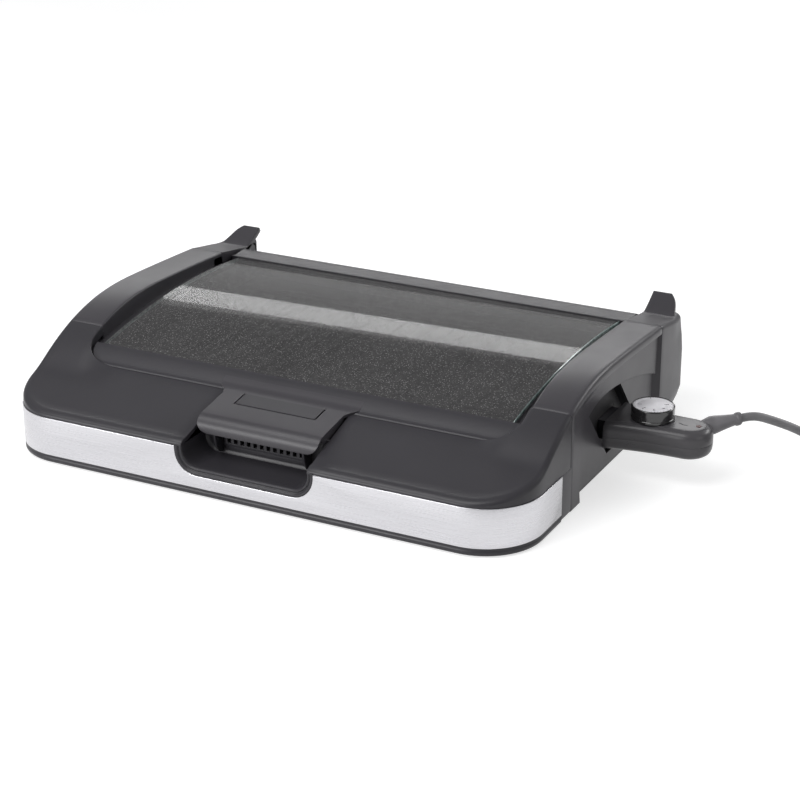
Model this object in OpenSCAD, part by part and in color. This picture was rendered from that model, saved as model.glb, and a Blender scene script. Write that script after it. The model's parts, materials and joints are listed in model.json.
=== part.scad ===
// Countertop electric grill with a bent glass lid and a plug-in thermostat.
// Millimetres. X runs to the right, Y to the back and Z up. The origin lies on
// the table, under the middle of the depth from the front face to the horn tips.

/* [Housing] */
// Width over the side arms
body_w = 520; // [470:1:600]
// Depth from the front face to the rear panel
body_d = 402; // [390:1:450]
// Wall of the moulded covers
wall = 2.5; // [2:0.1:3]
// Plan radius of the front corners
front_corner_r = 54; // [40:1:60]
// Plan radius of the rear corners
back_corner_r = 14; // [10:1:20]
// Height of the rubber feet
foot_h = 3; // [2:0.5:5]
// Radius of a foot
foot_r = 10; // [7:1:14]
// Distance of the feet from the housing's sides, front and back
foot_inset = 42; // [36:1:50]
// Height of the sloped front cover's rounded lip
lip_rise = 6; // [4:0.5:8]
// Depth of that lip
lip_run = 10; // [8:0.5:14]
// Rise of the front cover from the lip to the lid
slope_rise = 20; // [16:0.5:22]
// Depth of the front cover from the lip to the lid
slope_run = 69; // [66:1:76]

/* [Steel band] */
// Bottom edge of the band, above the feet
band_lift = 5.5; // [4:0.5:8]
// Height of the band
band_h = 36.5; // [34:0.5:40]
// Thickness of the steel
band_t = 1; // [0.8:0.1:1.5]
// How far the band runs back along each side
band_wrap = 94; // [80:1:105]

/* [Grip recess] */
// Width of the opening in the band
recess_w = 140; // [134:1:160]
// Height of the band that is left below the recess
recess_sill = 11.5; // [9:0.5:14]
// Corner radius of the opening
recess_r = 22; // [16:1:24]
// Width of the rounded border round the recess
recess_border = 7; // [5:0.5:9]
// Depth of the recess behind the front face
recess_d = 40; // [36:1:44]
// Number of slots in the vent comb
comb_slots = 12; // [8:1:16]
// Width of one slot
comb_slot_w = 3.4; // [2.5:0.1:4]
// Height of the comb
comb_h = 13; // [11:0.5:15]
// Width of the comb
comb_w = 84; // [78:1:96]

/* [Side arms] */
// Highest point of the arms
arm_top = 109; // [107:1:116]
// Width of an arm's top
arm_w = 38; // [36:1:42]
// Fall of an arm's top along its front stretch
front_fall = 39; // [36:1:42]
// Length of that stretch, from the crown to the front
front_run = 140; // [136:1:144]
// Fall of an arm's top along its rear stretch
rear_fall = 5; // [3:0.5:7]
// Distance of the crown from the front face
crown_from_front = 206; // [200:1:212]
// Distance of the arm's front seam from the front face
front_seam = 114; // [110:1:118]
// Distance of the rear post's seam from the rear panel
rear_seam = 74; // [70:1:80]
// Height of the rounded ridge along an arm's outer edge
ridge_h = 9; // [7:0.5:12]
// How far the ridge stands proud of the side panel
ridge_proud = 3; // [2.7:0.1:4]
// Depth of the front leg behind the band's end
leg_d = 42; // [36:1:48]
// Highest point of the side arch
arch_top = 82; // [78:1:84]
// Height of the arch at its rear end
arch_back = 56; // [50:1:62]

/* [Rear posts] */
// Height of the cap's rear edge, where the horn starts
cap_back = 95.5; // [94:0.5:98]
// Rise of the horn
horn_rise = 14; // [8:1:20]
// How far the horn sweeps behind the rear panel
horn_reach = 10; // [6:1:14]
// Depth of the horn from its foot to its tip
horn_d = 35; // [30:1:38]
// Thickness of the horn
horn_t = 3.5; // [3:0.1:5]
// Width of the horn at its foot
horn_w = 32; // [28:1:34]
// How much narrower the horn's tip is
horn_taper = 10; // [6:1:14]

/* [Lid] */
// Distance of the glass's side edges from the arms
glass_side = 10.5; // [8:0.5:16]
// Distance of the glass's rear edge from the hinge axis
glass_back = 21; // [18:1:26]
// Thickness of the glass
glass_t = 4; // [3:0.1:5]
// Bending radius of the glass
glass_bend_r = 785; // [740:5:900]
// Highest point of the glass
glass_top = 100; // [99:0.5:102]
// Distance of that point from the glass's front edge
glass_peak = 161; // [150:1:170]
// Depth of the strip in front of the glass
strip_d = 21; // [19:1:23]
// Ledge of the strips under the glass
glass_ledge = 12; // [10:1:16]
// Gap between the lid and the housing round it
lid_gap = 0.8; // [0.6:0.1:1.5]
// Gap between the lid's strips and the arms
side_gap = 3; // [2:0.5:5]
// Width of the handle
handle_w = 118; // [100:1:122]
// Depth of the handle in front of the strip
handle_d = 57; // [52:1:60]
// Thickness of the handle's top
handle_t = 3; // [2.5:0.1:3.5]
// Height and depth of the handle's rounded front lip
handle_drop = 14; // [12:0.5:16]
// How far the handle's top stands over the front cover's slope
handle_proud = 4; // [3:0.5:5]

/* [Hinge] */
// Radius of a hinge pin
pin_r = 2.5; // [2:0.1:3]
// Length of a hinge pin
pin_len = 17; // [15:1:20]
// Distance of the hinge axis from the rear panel
hinge_setback = 30; // [28:1:32]
// Height of the hinge axis
hinge_z = 88; // [87:0.5:89]
// Radius of the lid's hinge barrel
barrel_r = 6.5; // [6:0.1:7]
// Radial play of a pin in the lid
pin_play = 0.05; // [0.02:0.01:0.1]
// Play of a pin in the post's open slot
slot_play = 0.2; // [0.15:0.05:0.3]

/* [Grill plate] */
// Distance of the plate's side edges from the arms
plate_side = 22; // [18:0.5:30]
// How far the plate reaches in front of the glass
plate_ahead = 4.5; // [2:0.5:8]
// How far the glass reaches behind the plate
plate_short = 1.5; // [0:0.5:10]
// Height of the plate's underside
plate_z = 58; // [57:0.5:60]
// Thickness of the plate
plate_t = 5; // [4:0.5:6]
// Height of the rim over the plate
plate_rim = 4.5; // [4:0.5:8]
// Number of ribs
rib_count = 22; // [16:1:26]
// Height of a rib
rib_h = 2.5; // [1.5:0.5:3]
// Width of a rib
rib_w = 6; // [4:0.5:7]
// Radius of the heating element's tube
element_r = 3.25; // [3:0.25:3.5]
// Distance of the element's axis below the plate
element_drop = 6; // [5:0.5:8]
// Depth of the drip tray
tray_h = 12; // [9:1:13]

/* [Thermostat] */
// Distance of the thermostat's centre line in front of the side arch's middle
probe_ahead = 2; // [-6:1:10]
// Height of the contact pins
contact_z = 41; // [40:0.5:42]
// Spacing of the contact pins
contact_pitch = 24; // [22:1:26]
// Radius of a contact pin
contact_r = 2.25; // [2:0.25:2.5]
// Length of the thermostat's housing outside the grill
probe_len = 85; // [80:1:95]
// Radius of the housing's round end
probe_r = 22; // [21:1:25]
// Width of the housing where it meets the grill
probe_base_w = 54; // [50:1:58]
// Height of the housing's underside
probe_low = 27; // [25:1:29]
// Height of the housing
probe_h = 27; // [25:1:29]
// Wall of the thermostat's shells
probe_wall = 2; // [1.5:0.1:2.5]
// Distance of the dial from the grill's side
dial_x_out = 30.5; // [28:1:34]
// Radius of the dial
dial_r = 19.75; // [16:0.25:21]
// Height of the dial
dial_h = 12.8; // [10:0.1:15]
// Gap under the dial
dial_gap = 0.4; // [0.3:0.1:0.8]
// Radius of the temperature feeler
feeler_r = 3; // [2.5:0.25:3.5]
// Length of the feeler in front of the thermostat's nose
feeler_len = 42; // [36:1:44]
// Length of the tapered strain relief
relief_len = 30; // [26:1:36]
// Radius of the strain relief where it leaves the thermostat
relief_r = 8; // [7:0.5:9]

/* [Cord] */
// Radius of the cord
cord_r = 4; // [3.5:0.1:4.2]
// Length of the cord from the strain relief to the plug
cord_len = 1500; // [1400:10:1700]
// Distance from turn to turn and from layer to layer in the coil
coil_pitch = 8.6; // [8.5:0.1:9]
// Length of the plug's body
plug_len = 44; // [40:1:50]
// Radius of the plug's face
plug_r = 19; // [18.5:0.1:19.5]

/* [Hidden] */

$fn = 48;
eps = 0.01;

housing_dark = "#38363a";
housing_light = "#514e54";
bare_steel = "#c9c9cf";
cast_plate = "#2b2a2c";
rubber_black = "#1d1d1f";

half_w = body_w / 2;
front_y = -(body_d + horn_reach) / 2;
back_y = front_y + body_d;
band_bottom = foot_h + band_lift;
band_top = band_bottom + band_h;
lip_top = band_top + lip_rise;
slope_front_y = front_y + lip_run;
strip_front_y = slope_front_y + slope_run;
strip_front_z = lip_top + slope_rise;
glass_front_y = strip_front_y + strip_d;
hinge_y = back_y - hinge_setback;
glass_back_y = hinge_y - glass_back;
glass_len = glass_back_y - glass_front_y;
glass_peak_y = glass_front_y + glass_peak;
crown_y = front_y + crown_from_front;
arm_front_y = front_y + front_seam;
arm_back_y = back_y - rear_seam;
band_end_y = front_y + band_wrap;
leg_back_y = band_end_y + leg_d;
pocket_half = half_w - arm_w;
strip_half = pocket_half - side_gap;
glass_w = 2 * (pocket_half - glass_side);
plate_w = 2 * (pocket_half - plate_side);
plate_low_y = glass_front_y - plate_ahead;
plate_high_y = glass_back_y - plate_short;
probe_y = (leg_back_y + arm_back_y) / 2 - probe_ahead;
curve_steps = 20;
// Gap at a seam between two moulded covers
seam_gap = 0.3;
// How far a cutting shape reaches past what it cuts
over = 1;

// Height of an arm's top surface at y
function crown_z(y) =
  y < crown_y
    ? arm_top - front_fall * pow((crown_y - y) / front_run, 2.35)
    : arm_top - rear_fall * pow((y - crown_y) / (arm_back_y - crown_y), 1.3);

// Height of the sloped front cover at y
function slope_z(y) = lip_top + (y - slope_front_y) * slope_rise / slope_run;

// Height of the glass's upper face at y
function glass_z(y) =
  glass_top - glass_bend_r + sqrt(pow(glass_bend_r, 2) - pow(y - glass_peak_y, 2));

// Height of the glass's lower face at y
function glass_low(y) =
  glass_top - glass_bend_r + sqrt(pow(glass_bend_r - glass_t, 2) - pow(y - glass_peak_y, 2));

// Height of the lid's front strip at y
function strip_z(y) =
  let (share = (y - strip_front_y) / strip_d)
  strip_front_z + (glass_z(glass_front_y) - strip_front_z) * (1 - pow(1 - share, 1.7));

// Points of an arc, from angle a to angle b
function arc(centre, r, a, b, steps = 8) = [
  for (i = [0:steps])
    let (angle = a + (b - a) * i / steps)
    centre + r * [cos(angle), sin(angle)]
];

// Evenly spaced values from a to b
function steps_from(a, b, steps) = [for (i = [0:steps]) a + (b - a) * i / steps];

// The same list, last item first
function reverse(list) = [for (i = [len(list) - 1:-1:0]) list[i]];

// Top line of the front cover's rounded lip
function lip_line(drop = 0) =
  [for (a = [0:15:90]) [slope_front_y - lip_run * cos(a), band_top + lip_rise * sin(a) - drop]];

// Top line of the front cover, from the front face to the lid
function front_line(drop = 0) = concat(lip_line(drop), [[strip_front_y, strip_front_z - drop]]);

// Top line of the cover beside the lid, up to the arm's seam
function side_line(drop = 0) = concat(
  lip_line(drop),
  [for (y = steps_from(slope_front_y + lip_run, arm_front_y, 12)) [y, max(slope_z(y), crown_z(y)) - drop]]
);

// Top line of an arm
function arm_line(drop = 0) =
  [for (y = steps_from(arm_front_y, arm_back_y, curve_steps)) [y, crown_z(y) - drop]];

// Extrudes a Y-Z outline along X
module along_x(from, to)
  translate([from, 0, 0]) rotate([90, 0, 90]) linear_extrude(to - from) children();

// A box given by two corners
module block(low, high)
  translate(low) cube(high - low);

// Mirrors a right-hand piece to the left
module left_of()
  mirror([1, 0, 0]) children();

// Both the right-hand and the left-hand copy
module both_sides() {
  children();
  left_of() children();
}

// Plan outline of the housing, drawn in by inset
module plan(inset = 0) {
  side = half_w - inset;
  front = front_y + inset;
  back = back_y - inset;
  front_r = front_corner_r - inset;
  back_r = max(back_corner_r - inset, 1);
  translate([-side, front + front_r]) square([2 * side, back - back_r - front - front_r]);
  translate([-side + front_r, front]) square([2 * (side - front_r), front_r + eps]);
  translate([-side + back_r, back - back_r - eps]) square([2 * (side - back_r), back_r + eps]);
  for (x = [-1, 1]) {
    translate([x * (side - front_r), front + front_r]) circle(front_r, $fn = 96);
    translate([x * (side - back_r), back - back_r]) circle(back_r);
  }
}

// A wall that follows the plan outline
module plan_wall(inset, thickness, low, high)
  translate([0, 0, low]) linear_extrude(high - low) difference() {
    plan(inset);
    plan(inset + thickness);
  }

/* ---- base ---- */

floor_t = 2.5;
tray_inset = 1.5;
tray_wall_h = 12;
panel_inset = ridge_proud + 2 * wall;
screw_spots = [[0.62, 0.2], [0.62, 0.8], [0.2, 0.5]];

module feet()
  color(rubber_black) for (x = [-1, 1], y = [front_y + foot_inset, back_y - foot_inset])
    translate([x * (half_w - foot_inset), y, 0]) cylinder(h = foot_h, r = foot_r);

// Plan of the tray: under the band in front, inside the legs and posts behind
module tray_plan(inset = 0) {
  intersection() {
    plan(tray_inset + inset);
    translate([-half_w, front_y]) square([body_w, band_wrap - seam_gap - inset]);
  }
  plan(panel_inset + inset);
}

module base_tray()
  color(housing_dark) difference() {
    union() {
      translate([0, 0, foot_h]) linear_extrude(floor_t) tray_plan();
      translate([0, 0, foot_h]) linear_extrude(tray_wall_h) difference() {
        tray_plan();
        tray_plan(wall);
      }
      intersection() {
        plan_wall(0, wall, band_bottom, band_top);
        block([-half_w, front_y, 0], [half_w, band_end_y, band_top]);
      }
      intersection() {
        plan_wall(0, wall + tray_inset, band_bottom - wall, band_bottom);
        block([-half_w, front_y, 0], [half_w, band_end_y, band_top]);
      }
    }
    recess_cut(0, front_y - over, front_y + wall + over);
    for (x = [-1, 1], spot = screw_spots)
      translate([x * half_w * spot[0], front_y + body_d * spot[1], 0]) cylinder(h = band_top, r = screw_r);
  }

screw_r = 2;
screw_head_h = 1.8;
screw_len = 10;

module base_screws()
  color(bare_steel) for (x = [-1, 1], spot = screw_spots)
    translate([x * half_w * spot[0], front_y + body_d * spot[1], foot_h - screw_head_h]) {
      cylinder(h = screw_head_h, r = 2 * screw_r);
      cylinder(h = screw_head_h + screw_len, r = screw_r);
    }

module steel_band()
  color(bare_steel) difference() {
    intersection() {
      plan_wall(-band_t, band_t, band_bottom, band_top);
      block([-body_w, -body_d, 0], [body_w, band_end_y, band_top]);
    }
    recess_cut(0, front_y - band_t - over, front_y + over);
  }

/* ---- grip recess ---- */

recess_low = band_bottom + recess_sill;

// Front outline of the recess, drawn in by inset and open at the top
module recess_outline(inset) {
  half = recess_w / 2 - inset;
  low = recess_low + inset;
  corner = recess_r - inset;
  polygon(concat(
    [[-half, arm_top]],
    arc([-half + corner, low + corner], corner, 180, 270),
    arc([half - corner, low + corner], corner, 270, 360),
    [[half, arm_top]]
  ));
}

module recess_cut(inset, from, to)
  translate([0, to, 0]) rotate([90, 0, 0]) linear_extrude(to - from) recess_outline(inset);

recess_back = front_y + recess_d;
recess_roof = wall + seam_gap;

module grip_recess()
  color(housing_dark) difference() {
    union() {
      intersection() {
        recess_cut(0, front_y - band_t, front_y + wall);
        block([-recess_w, -body_d, 0], [recess_w, back_y, band_top]);
      }
      intersection() {
        recess_cut(recess_border - wall, front_y, recess_back + wall);
        along_x(-recess_w, recess_w) polygon([
          [front_y, 0], [recess_back + wall, 0],
          [recess_back + wall, slope_z(recess_back) - recess_roof], [slope_front_y, lip_top - recess_roof],
          [front_y + recess_roof, band_top - seam_gap], [front_y, band_top - seam_gap]
        ]);
      }
    }
    recess_cut(recess_border, front_y - band_t - over, recess_back);
    block(
      [-comb_w / 2, recess_back - over, comb_low],
      [comb_w / 2, recess_back + wall + over, comb_low + comb_h]
    );
  }

// Strip of the recess's back wall that is left under the comb
comb_lift = 4;
comb_low = recess_low + recess_border + comb_lift;
comb_proud = 2;
// Rail of the comb that is left over and under its slots
comb_rail = 2;
comb_pitch = comb_w / (comb_slots + 0.5);

module vent_comb()
  color(housing_light) difference() {
    block(
      [-comb_w / 2, recess_back - comb_proud, comb_low],
      [comb_w / 2, recess_back + wall, comb_low + comb_h]
    );
    for (i = [0:comb_slots - 1])
      translate([(i + 0.5 - comb_slots / 2) * comb_pitch, recess_back, comb_low + comb_h / 2])
        cube([comb_slot_w, 4 * wall, comb_h - 2 * comb_rail], center = true);
  }

/* ---- front housing ---- */

// Closes a top line at the height low
function outline_over(line, low) = concat(line, [[line[len(line) - 1][0], low], [line[0][0], low]]);

// Outer shape of the front cover, drawn in by inset: sloped before the lid, and as high as the arms
// beside it
module cover_shape(inset = 0)
  intersection() {
    union() {
      along_x(-pocket_half - inset, pocket_half + inset)
        polygon(outline_over(front_line(inset), band_top - inset));
      both_sides() along_x(pocket_half + inset, body_w)
        polygon(outline_over(side_line(inset), band_top - inset));
    }
    linear_extrude(2 * arm_top) plan(inset);
  }

module front_housing()
  color(housing_dark) difference() {
    union() {
      difference() {
        cover_shape();
        cover_shape(wall);
      }
      intersection() {
        cover_shape();
        lid_pocket(wall);
      }
    }
    lid_pocket();
    handle_notch();
    recess_cut(recess_border - seam_gap, front_y - over, recess_back + seam_gap);
  }

// The pocket's floor lies this far below the front strip
pocket_drop = 12;

// Pocket that the lid lies in, grown all round in plan
module lid_pocket(grow = 0)
  block(
    [-pocket_half - grow, strip_front_y - lid_gap - grow, strip_front_z - pocket_drop],
    [pocket_half + grow, back_y, 2 * arm_top]
  );

// Room in the front cover for the handle's sides
module handle_notch()
  along_x(-handle_w / 2 - lid_gap, handle_w / 2 + lid_gap) polygon([
    [handle_front_y - lid_gap, slope_z(handle_front_y) - handle_seat],
    [strip_front_y, strip_front_z - handle_seat],
    [strip_front_y, arm_top], [handle_front_y - lid_gap, arm_top]
  ]);

/* ---- side arms ---- */

skin_out = half_w - ridge_proud;
// The arch rises in a quarter of an ellipse behind the leg and then falls to its rear end
arch_quarter_d = 62;
arch_quarter_h = 34;
arch_crown_y = leg_back_y + arch_quarter_d;

// Edge of the side arch, from its front foot to its rear end
function arch_line() = concat(
  [for (t = [180:-10:90])
    [arch_crown_y + arch_quarter_d * cos(t), arch_top - arch_quarter_h * (1 - sin(t))]],
  [for (share = steps_from(0.1, 1, 10)) [
    arch_crown_y + (arm_back_y - arch_crown_y) * share,
    arch_top - (arch_top - arch_back) * pow(share, 1.8)
  ]]
);

module arch_cut(from, to)
  along_x(from, to) polygon(concat(
    [[leg_back_y, -over]], arch_line(), [[arm_back_y + over, arch_back], [arm_back_y + over, -over]]
  ));

// The glass keeps this far above the ledges along the arms
ledge_gap = 1;
ledge_t = 2;
// Overlap of the ledges under the glass
ledge_lap = 8;

// Line of the ledge that runs along an arm under the glass
function ledge_line(drop = 0) =
  [for (p = arm_line()) [p[0], glass_z(p[0]) - glass_t - ledge_gap - drop]];

// Side outline of the front leg, from its foot to the arm's top
function leg_outline() = concat(
  [[band_end_y + seam_gap, foot_h], [band_end_y + seam_gap, band_top - seam_gap]],
  [[arm_front_y, band_top - seam_gap]],
  [for (p = arm_line(over)) if (p[0] < leg_back_y - over) p],
  [[leg_back_y, crown_z(leg_back_y) - over], [leg_back_y, foot_h]]
);

module right_arm()
  color(housing_light) {
    difference() {
      union() {
        along_x(pocket_half, half_w) polygon(concat(arm_line(), reverse(arm_line(wall))));
        along_x(skin_out - wall, half_w) polygon(concat(arm_line(), reverse(arm_line(ridge_h))));
        along_x(skin_out - wall, skin_out)
          polygon(concat(arm_line(wall), [[arm_back_y, foot_h], [arm_front_y, foot_h]]));
        along_x(pocket_half, pocket_half + wall)
          polygon(concat(arm_line(), reverse(ledge_line(ledge_t))));
      }
      arch_cut(skin_out - wall - over, half_w + over);
    }
    along_x(half_w - wall, half_w) polygon(leg_outline());
    along_x(glass_w / 2 - ledge_lap, pocket_half + wall)
      polygon(concat(ledge_line(), reverse(ledge_line(ledge_t))));
  }

module left_arm()
  left_of() right_arm();

// The side panel laps behind the arch's edge this far
panel_lap = 8;

module side_panel_blank()
  along_x(skin_out - 2 * wall, skin_out - wall) polygon(concat(
    [[leg_back_y - panel_lap, band_bottom]],
    [for (p = arch_line()) p + [-panel_lap, panel_lap]],
    [[arm_back_y, arch_back + panel_lap], [arm_back_y, band_bottom]]
  ));

// Opening in the right side panel, leaning back towards its foot
opening_lean = 53;
opening_low = 19;
opening_high = 80;
// Its front corner lies this far behind the leg, and its rear one this far before the rear post
opening_front_y = leg_back_y + 23;
opening_back_y = arm_back_y - 37;

function side_opening() = [
  [opening_front_y, opening_high], [opening_back_y - opening_lean, opening_high],
  [opening_back_y, opening_low], [opening_front_y + opening_lean, opening_low]
];

module right_side_panel()
  color(housing_light) difference() {
    side_panel_blank();
    along_x(pocket_half, half_w + over) polygon(side_opening());
  }

module left_side_panel()
  color(housing_light) left_of() side_panel_blank();

/* ---- rear posts ---- */

horn_foot_y = back_y + horn_reach - horn_d;

// Top line of a rear cap, from the arm's seam to the rear
function cap_line(drop = 0) = [
  [arm_back_y, crown_z(arm_back_y) - drop], [horn_foot_y, cap_back - drop], [body_d, cap_back - drop]
];

// Line of the horn's front face, hollow towards the lid, or of its back face, at depth t behind it
function horn_line(t) = [
  for (share = steps_from(0, 1, 8))
    [horn_foot_y + t + (horn_d - t) * share,
     cap_back + horn_rise * pow(share, 1.35) - t * 0.75 * (1 - share)]
];

module right_rear_post()
  color(housing_light) difference() {
    union() {
      difference() {
        post_solid();
        post_solid(wall);
        block([0, 0, 0], [half_w - panel_inset, back_y - panel_inset, foot_h + tray_wall_h + seam_gap]);
      }
      intersection() {
        along_x(pocket_half, pocket_half + horn_w)
          polygon(concat(horn_line(0), reverse(horn_line(horn_t))));
        translate([0, body_d, 0]) rotate([90, 0, 0]) linear_extrude(body_d) polygon([
          [0, 0], [pocket_half + horn_w, 0], [pocket_half + horn_w, cap_back],
          [pocket_half + horn_w - horn_taper, cap_back + horn_rise], [0, cap_back + horn_rise]
        ]);
      }
    }
    block(
      [0, hinge_y - pin_r - slot_play, hinge_z],
      [pocket_half + wall + over, hinge_y + pin_r + slot_play, 2 * arm_top]
    );
    along_x(0, pocket_half + wall + over) translate([hinge_y, hinge_z]) circle(pin_r + slot_play);
  }

// Solid of the right rear post, drawn in by inset and open at its front and foot
module post_solid(inset = 0)
  intersection() {
    along_x(pocket_half + inset, body_w) polygon(concat(
      [[arm_back_y - inset, foot_h - inset], [arm_back_y - inset, crown_z(arm_back_y) - inset]],
      cap_line(inset), [[body_d, foot_h - inset]]
    ));
    linear_extrude(2 * arm_top) plan(inset);
  }

module left_rear_post()
  color(housing_light) left_of() right_rear_post();

// The hinge barrel clears the rear panel by this much
barrel_gap = 2;
rear_panel_top = hinge_z - barrel_r - barrel_gap;

module rear_panel()
  color(housing_dark) {
    block([-pocket_half, back_y - wall, foot_h], [pocket_half, back_y, rear_panel_top]);
    block([-pocket_half, back_y - panel_inset, foot_h], [pocket_half, back_y, foot_h + floor_t]);
    block(
      [-pocket_half, hinge_y + barrel_r + barrel_gap, rear_panel_top - wall],
      [pocket_half, back_y - wall, rear_panel_top]
    );
  }

/* ---- inside the housing ---- */

plate_d = plate_high_y - plate_low_y;
plate_mid_y = (plate_low_y + plate_high_y) / 2;
surround_gap = 3;
surround_t = 2;

module plate_surround()
  color(housing_dark) difference() {
    block(
      [-pocket_half + lid_gap, strip_front_y + lid_gap, plate_z - surround_t],
      [pocket_half - lid_gap, back_y - wall - seam_gap, plate_z]
    );
    block(
      [-plate_w / 2 - surround_gap, plate_low_y - surround_gap, 0],
      [plate_w / 2 + surround_gap, plate_high_y + surround_gap, arm_top]
    );
  }

support_r = 4;
support_inset = 6;

module plate_supports()
  color(housing_dark) for (x = [-1, 1], y = [plate_low_y + support_inset, plate_high_y - support_inset])
    translate([x * (plate_w / 2 - support_inset), y, foot_h + floor_t])
      cylinder(h = plate_z - foot_h - floor_t, r = support_r);

sheet_t = 1;
tray_inset_x = 16;
tray_half = plate_w / 2 - tray_inset_x;
tray_low = foot_h + floor_t + 18;
reflector_h = 5;

// An open tray of sheet metal under the plate
module sheet_tray(half, depth, low, height)
  difference() {
    block([-half, plate_mid_y - depth / 2, low], [half, plate_mid_y + depth / 2, low + height]);
    block(
      [-half + sheet_t, plate_mid_y - depth / 2 + sheet_t, low + sheet_t],
      [half - sheet_t, plate_mid_y + depth / 2 - sheet_t, low + height + over]
    );
  }

tray_depth = plate_d - 2 * tray_inset_x;
// The reflector under the tray is this much wider on each side
reflector_margin = 2;
reflector_low = tray_low - sheet_t - reflector_h;

module heat_reflector()
  color(bare_steel)
    sheet_tray(tray_half + reflector_margin, tray_depth + 2 * reflector_margin, reflector_low, reflector_h);

module drip_tray()
  color(bare_steel) sheet_tray(tray_half, tray_depth, tray_low, tray_h);

drain_r = 6;
rim_t = 5;
rib_margin = 20;

module grill_plate()
  color(cast_plate) difference() {
    block([-plate_w / 2, plate_low_y, plate_z], [plate_w / 2, plate_high_y, plate_z + plate_t + plate_rim]);
    difference() {
      block(
        [-plate_w / 2 + rim_t, plate_low_y + rim_t, plate_z + plate_t],
        [plate_w / 2 - rim_t, plate_high_y - rim_t, plate_z + plate_t + plate_rim + over]
      );
      for (i = [0:rib_count - 1])
        translate([
          (i - (rib_count - 1) / 2) * (plate_w - 6 * rim_t) / rib_count - rib_w / 2,
          plate_low_y + rib_margin, plate_z
        ]) cube([rib_w, plate_d - 2 * rib_margin, plate_t + rib_h]);
    }
    translate([0, plate_low_y + rim_t + drain_r + over, plate_z - over])
      cylinder(h = plate_t + 2 * over, r = drain_r);
  }

// A round rod from a to b
module rod(a, b, r) {
  run = b - a;
  translate(a) rotate([0, acos(run[2] / norm(run)), atan2(run[1], run[0])])
    cylinder(h = norm(run), r = r, $fn = 24);
}

element_z = plate_z - element_drop;
terminal_x = plate_w / 2 - 4;
element_inset = 28;
element_back_y = plate_high_y - element_inset;
element_front_y = plate_low_y + element_inset;
element_side = 38;
element_right = plate_w / 2 - element_side;
element_left = element_side - plate_w / 2;
// The element's inner loop ends this far from its outer loop
loop_short = 50;
loop_right = element_right - loop_short;
loop_front_y = (element_front_y + probe_y) / 2;
element_path = [
  [terminal_x, probe_y + contact_pitch / 2], [element_right, probe_y + contact_pitch / 2],
  [element_right, element_back_y], [element_left, element_back_y],
  [element_left, probe_y + contact_pitch], [loop_right, probe_y + contact_pitch],
  [loop_right, loop_front_y], [element_left, loop_front_y],
  [element_left, element_front_y], [element_right, element_front_y],
  [element_right, probe_y - contact_pitch / 2], [terminal_x, probe_y - contact_pitch / 2]
];

module heating_element()
  color("#6d625a") {
    for (i = [0:len(element_path) - 2])
      rod(concat(element_path[i], element_z), concat(element_path[i + 1], element_z), element_r);
    for (p = element_path)
      translate([p[0], p[1], element_z]) sphere(element_r, $fn = 24);
    for (p = [element_path[0], element_path[len(element_path) - 1]]) {
      rod([p[0], p[1], contact_z], [p[0], p[1], element_z], element_r);
      translate([p[0], p[1], contact_z]) sphere(element_r, $fn = 24);
    }
  }

clip_w = 8;
clip_wall = 3;

module element_clips()
  color(bare_steel) for (x = [-0.3, 0, 0.2], y = [element_back_y, element_front_y])
    difference() {
      translate([x * plate_w, y, plate_z - (element_drop + element_r + sheet_t) / 2])
        cube([clip_w, 2 * (element_r + clip_wall), element_drop + element_r + sheet_t], center = true);
      translate([x * plate_w, y, element_z]) rotate([0, 90, 0])
        cylinder(h = clip_w + over, r = element_r, center = true, $fn = 24);
    }

shroud_x = plate_w / 2 + 5;
pin_reach = 34;
pin_tip_x = shroud_x + pin_reach;

module contact_pins()
  color(bare_steel) for (y = [-1, 1])
    translate([terminal_x + element_r, probe_y + y * contact_pitch / 2, contact_z]) rotate([0, 90, 0])
      cylinder(h = pin_tip_x - terminal_x - element_r, r = contact_r);

nose_half = contact_pitch / 2 + 5;
nose_h = 18;
nose_front = shroud_x + 9;
shroud_play = 1;
shroud_t = 1.5;
shroud_depth = 40;
shroud_end_x = shroud_x + shroud_depth;

// Section of the thermostat's nose, grown all round by gap
module nose_section(gap = 0)
  translate([probe_y, contact_z]) square([2 * (nose_half + gap), nose_h + 2 * gap], center = true);

module socket_shroud()
  color("#8d8a88") difference() {
    along_x(shroud_x - shroud_t, shroud_end_x) nose_section(shroud_play + shroud_t);
    along_x(shroud_x, shroud_end_x + over) nose_section(shroud_play);
    for (y = [-1, 0, 1])
      translate([shroud_x - 2 * shroud_t, probe_y + y * contact_pitch / 2, contact_z]) rotate([0, 90, 0])
        cylinder(h = 3 * shroud_t, r = feeler_r + shroud_play);
  }

/* ---- hinge ---- */

// End of the pins, flush with the inner face of the post's wall
pin_end_x = pocket_half + wall;

module right_hinge_pin()
  color(bare_steel) translate([pin_end_x - pin_len, hinge_y, hinge_z]) rotate([0, 90, 0])
    cylinder(h = pin_len, r = pin_r);

module left_hinge_pin()
  color(bare_steel) left_of() right_hinge_pin();

/* ---- lid ---- */

handle_front_y = strip_front_y - handle_d;
handle_seat = 4;
strip_t = 2;
// Depth of the strip's turned-down front edge
strip_edge_h = 6;

module lid_front_strip()
  color(housing_dark) along_x(-strip_half, strip_half) polygon(concat(
    [for (y = steps_from(strip_front_y, glass_front_y, 8)) [y, strip_z(y)]],
    ledge_outline(glass_front_y, glass_front_y + glass_ledge),
    [[strip_front_y + wall, strip_front_z - strip_t], [strip_front_y + wall, strip_front_z - strip_edge_h]],
    [[strip_front_y, strip_front_z - strip_edge_h]]
  ));

// Outline of a ledge under the glass, from its edge to the ledge's free end
function ledge_outline(edge, end) = [
  [edge, glass_low(edge)], [end, glass_low(end)],
  [end, glass_low(end) - strip_t], [edge, glass_low(edge) - strip_t]
];

// The handle's top rises in front of the strip from this seat above it
handle_rise = 0.6;
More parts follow.
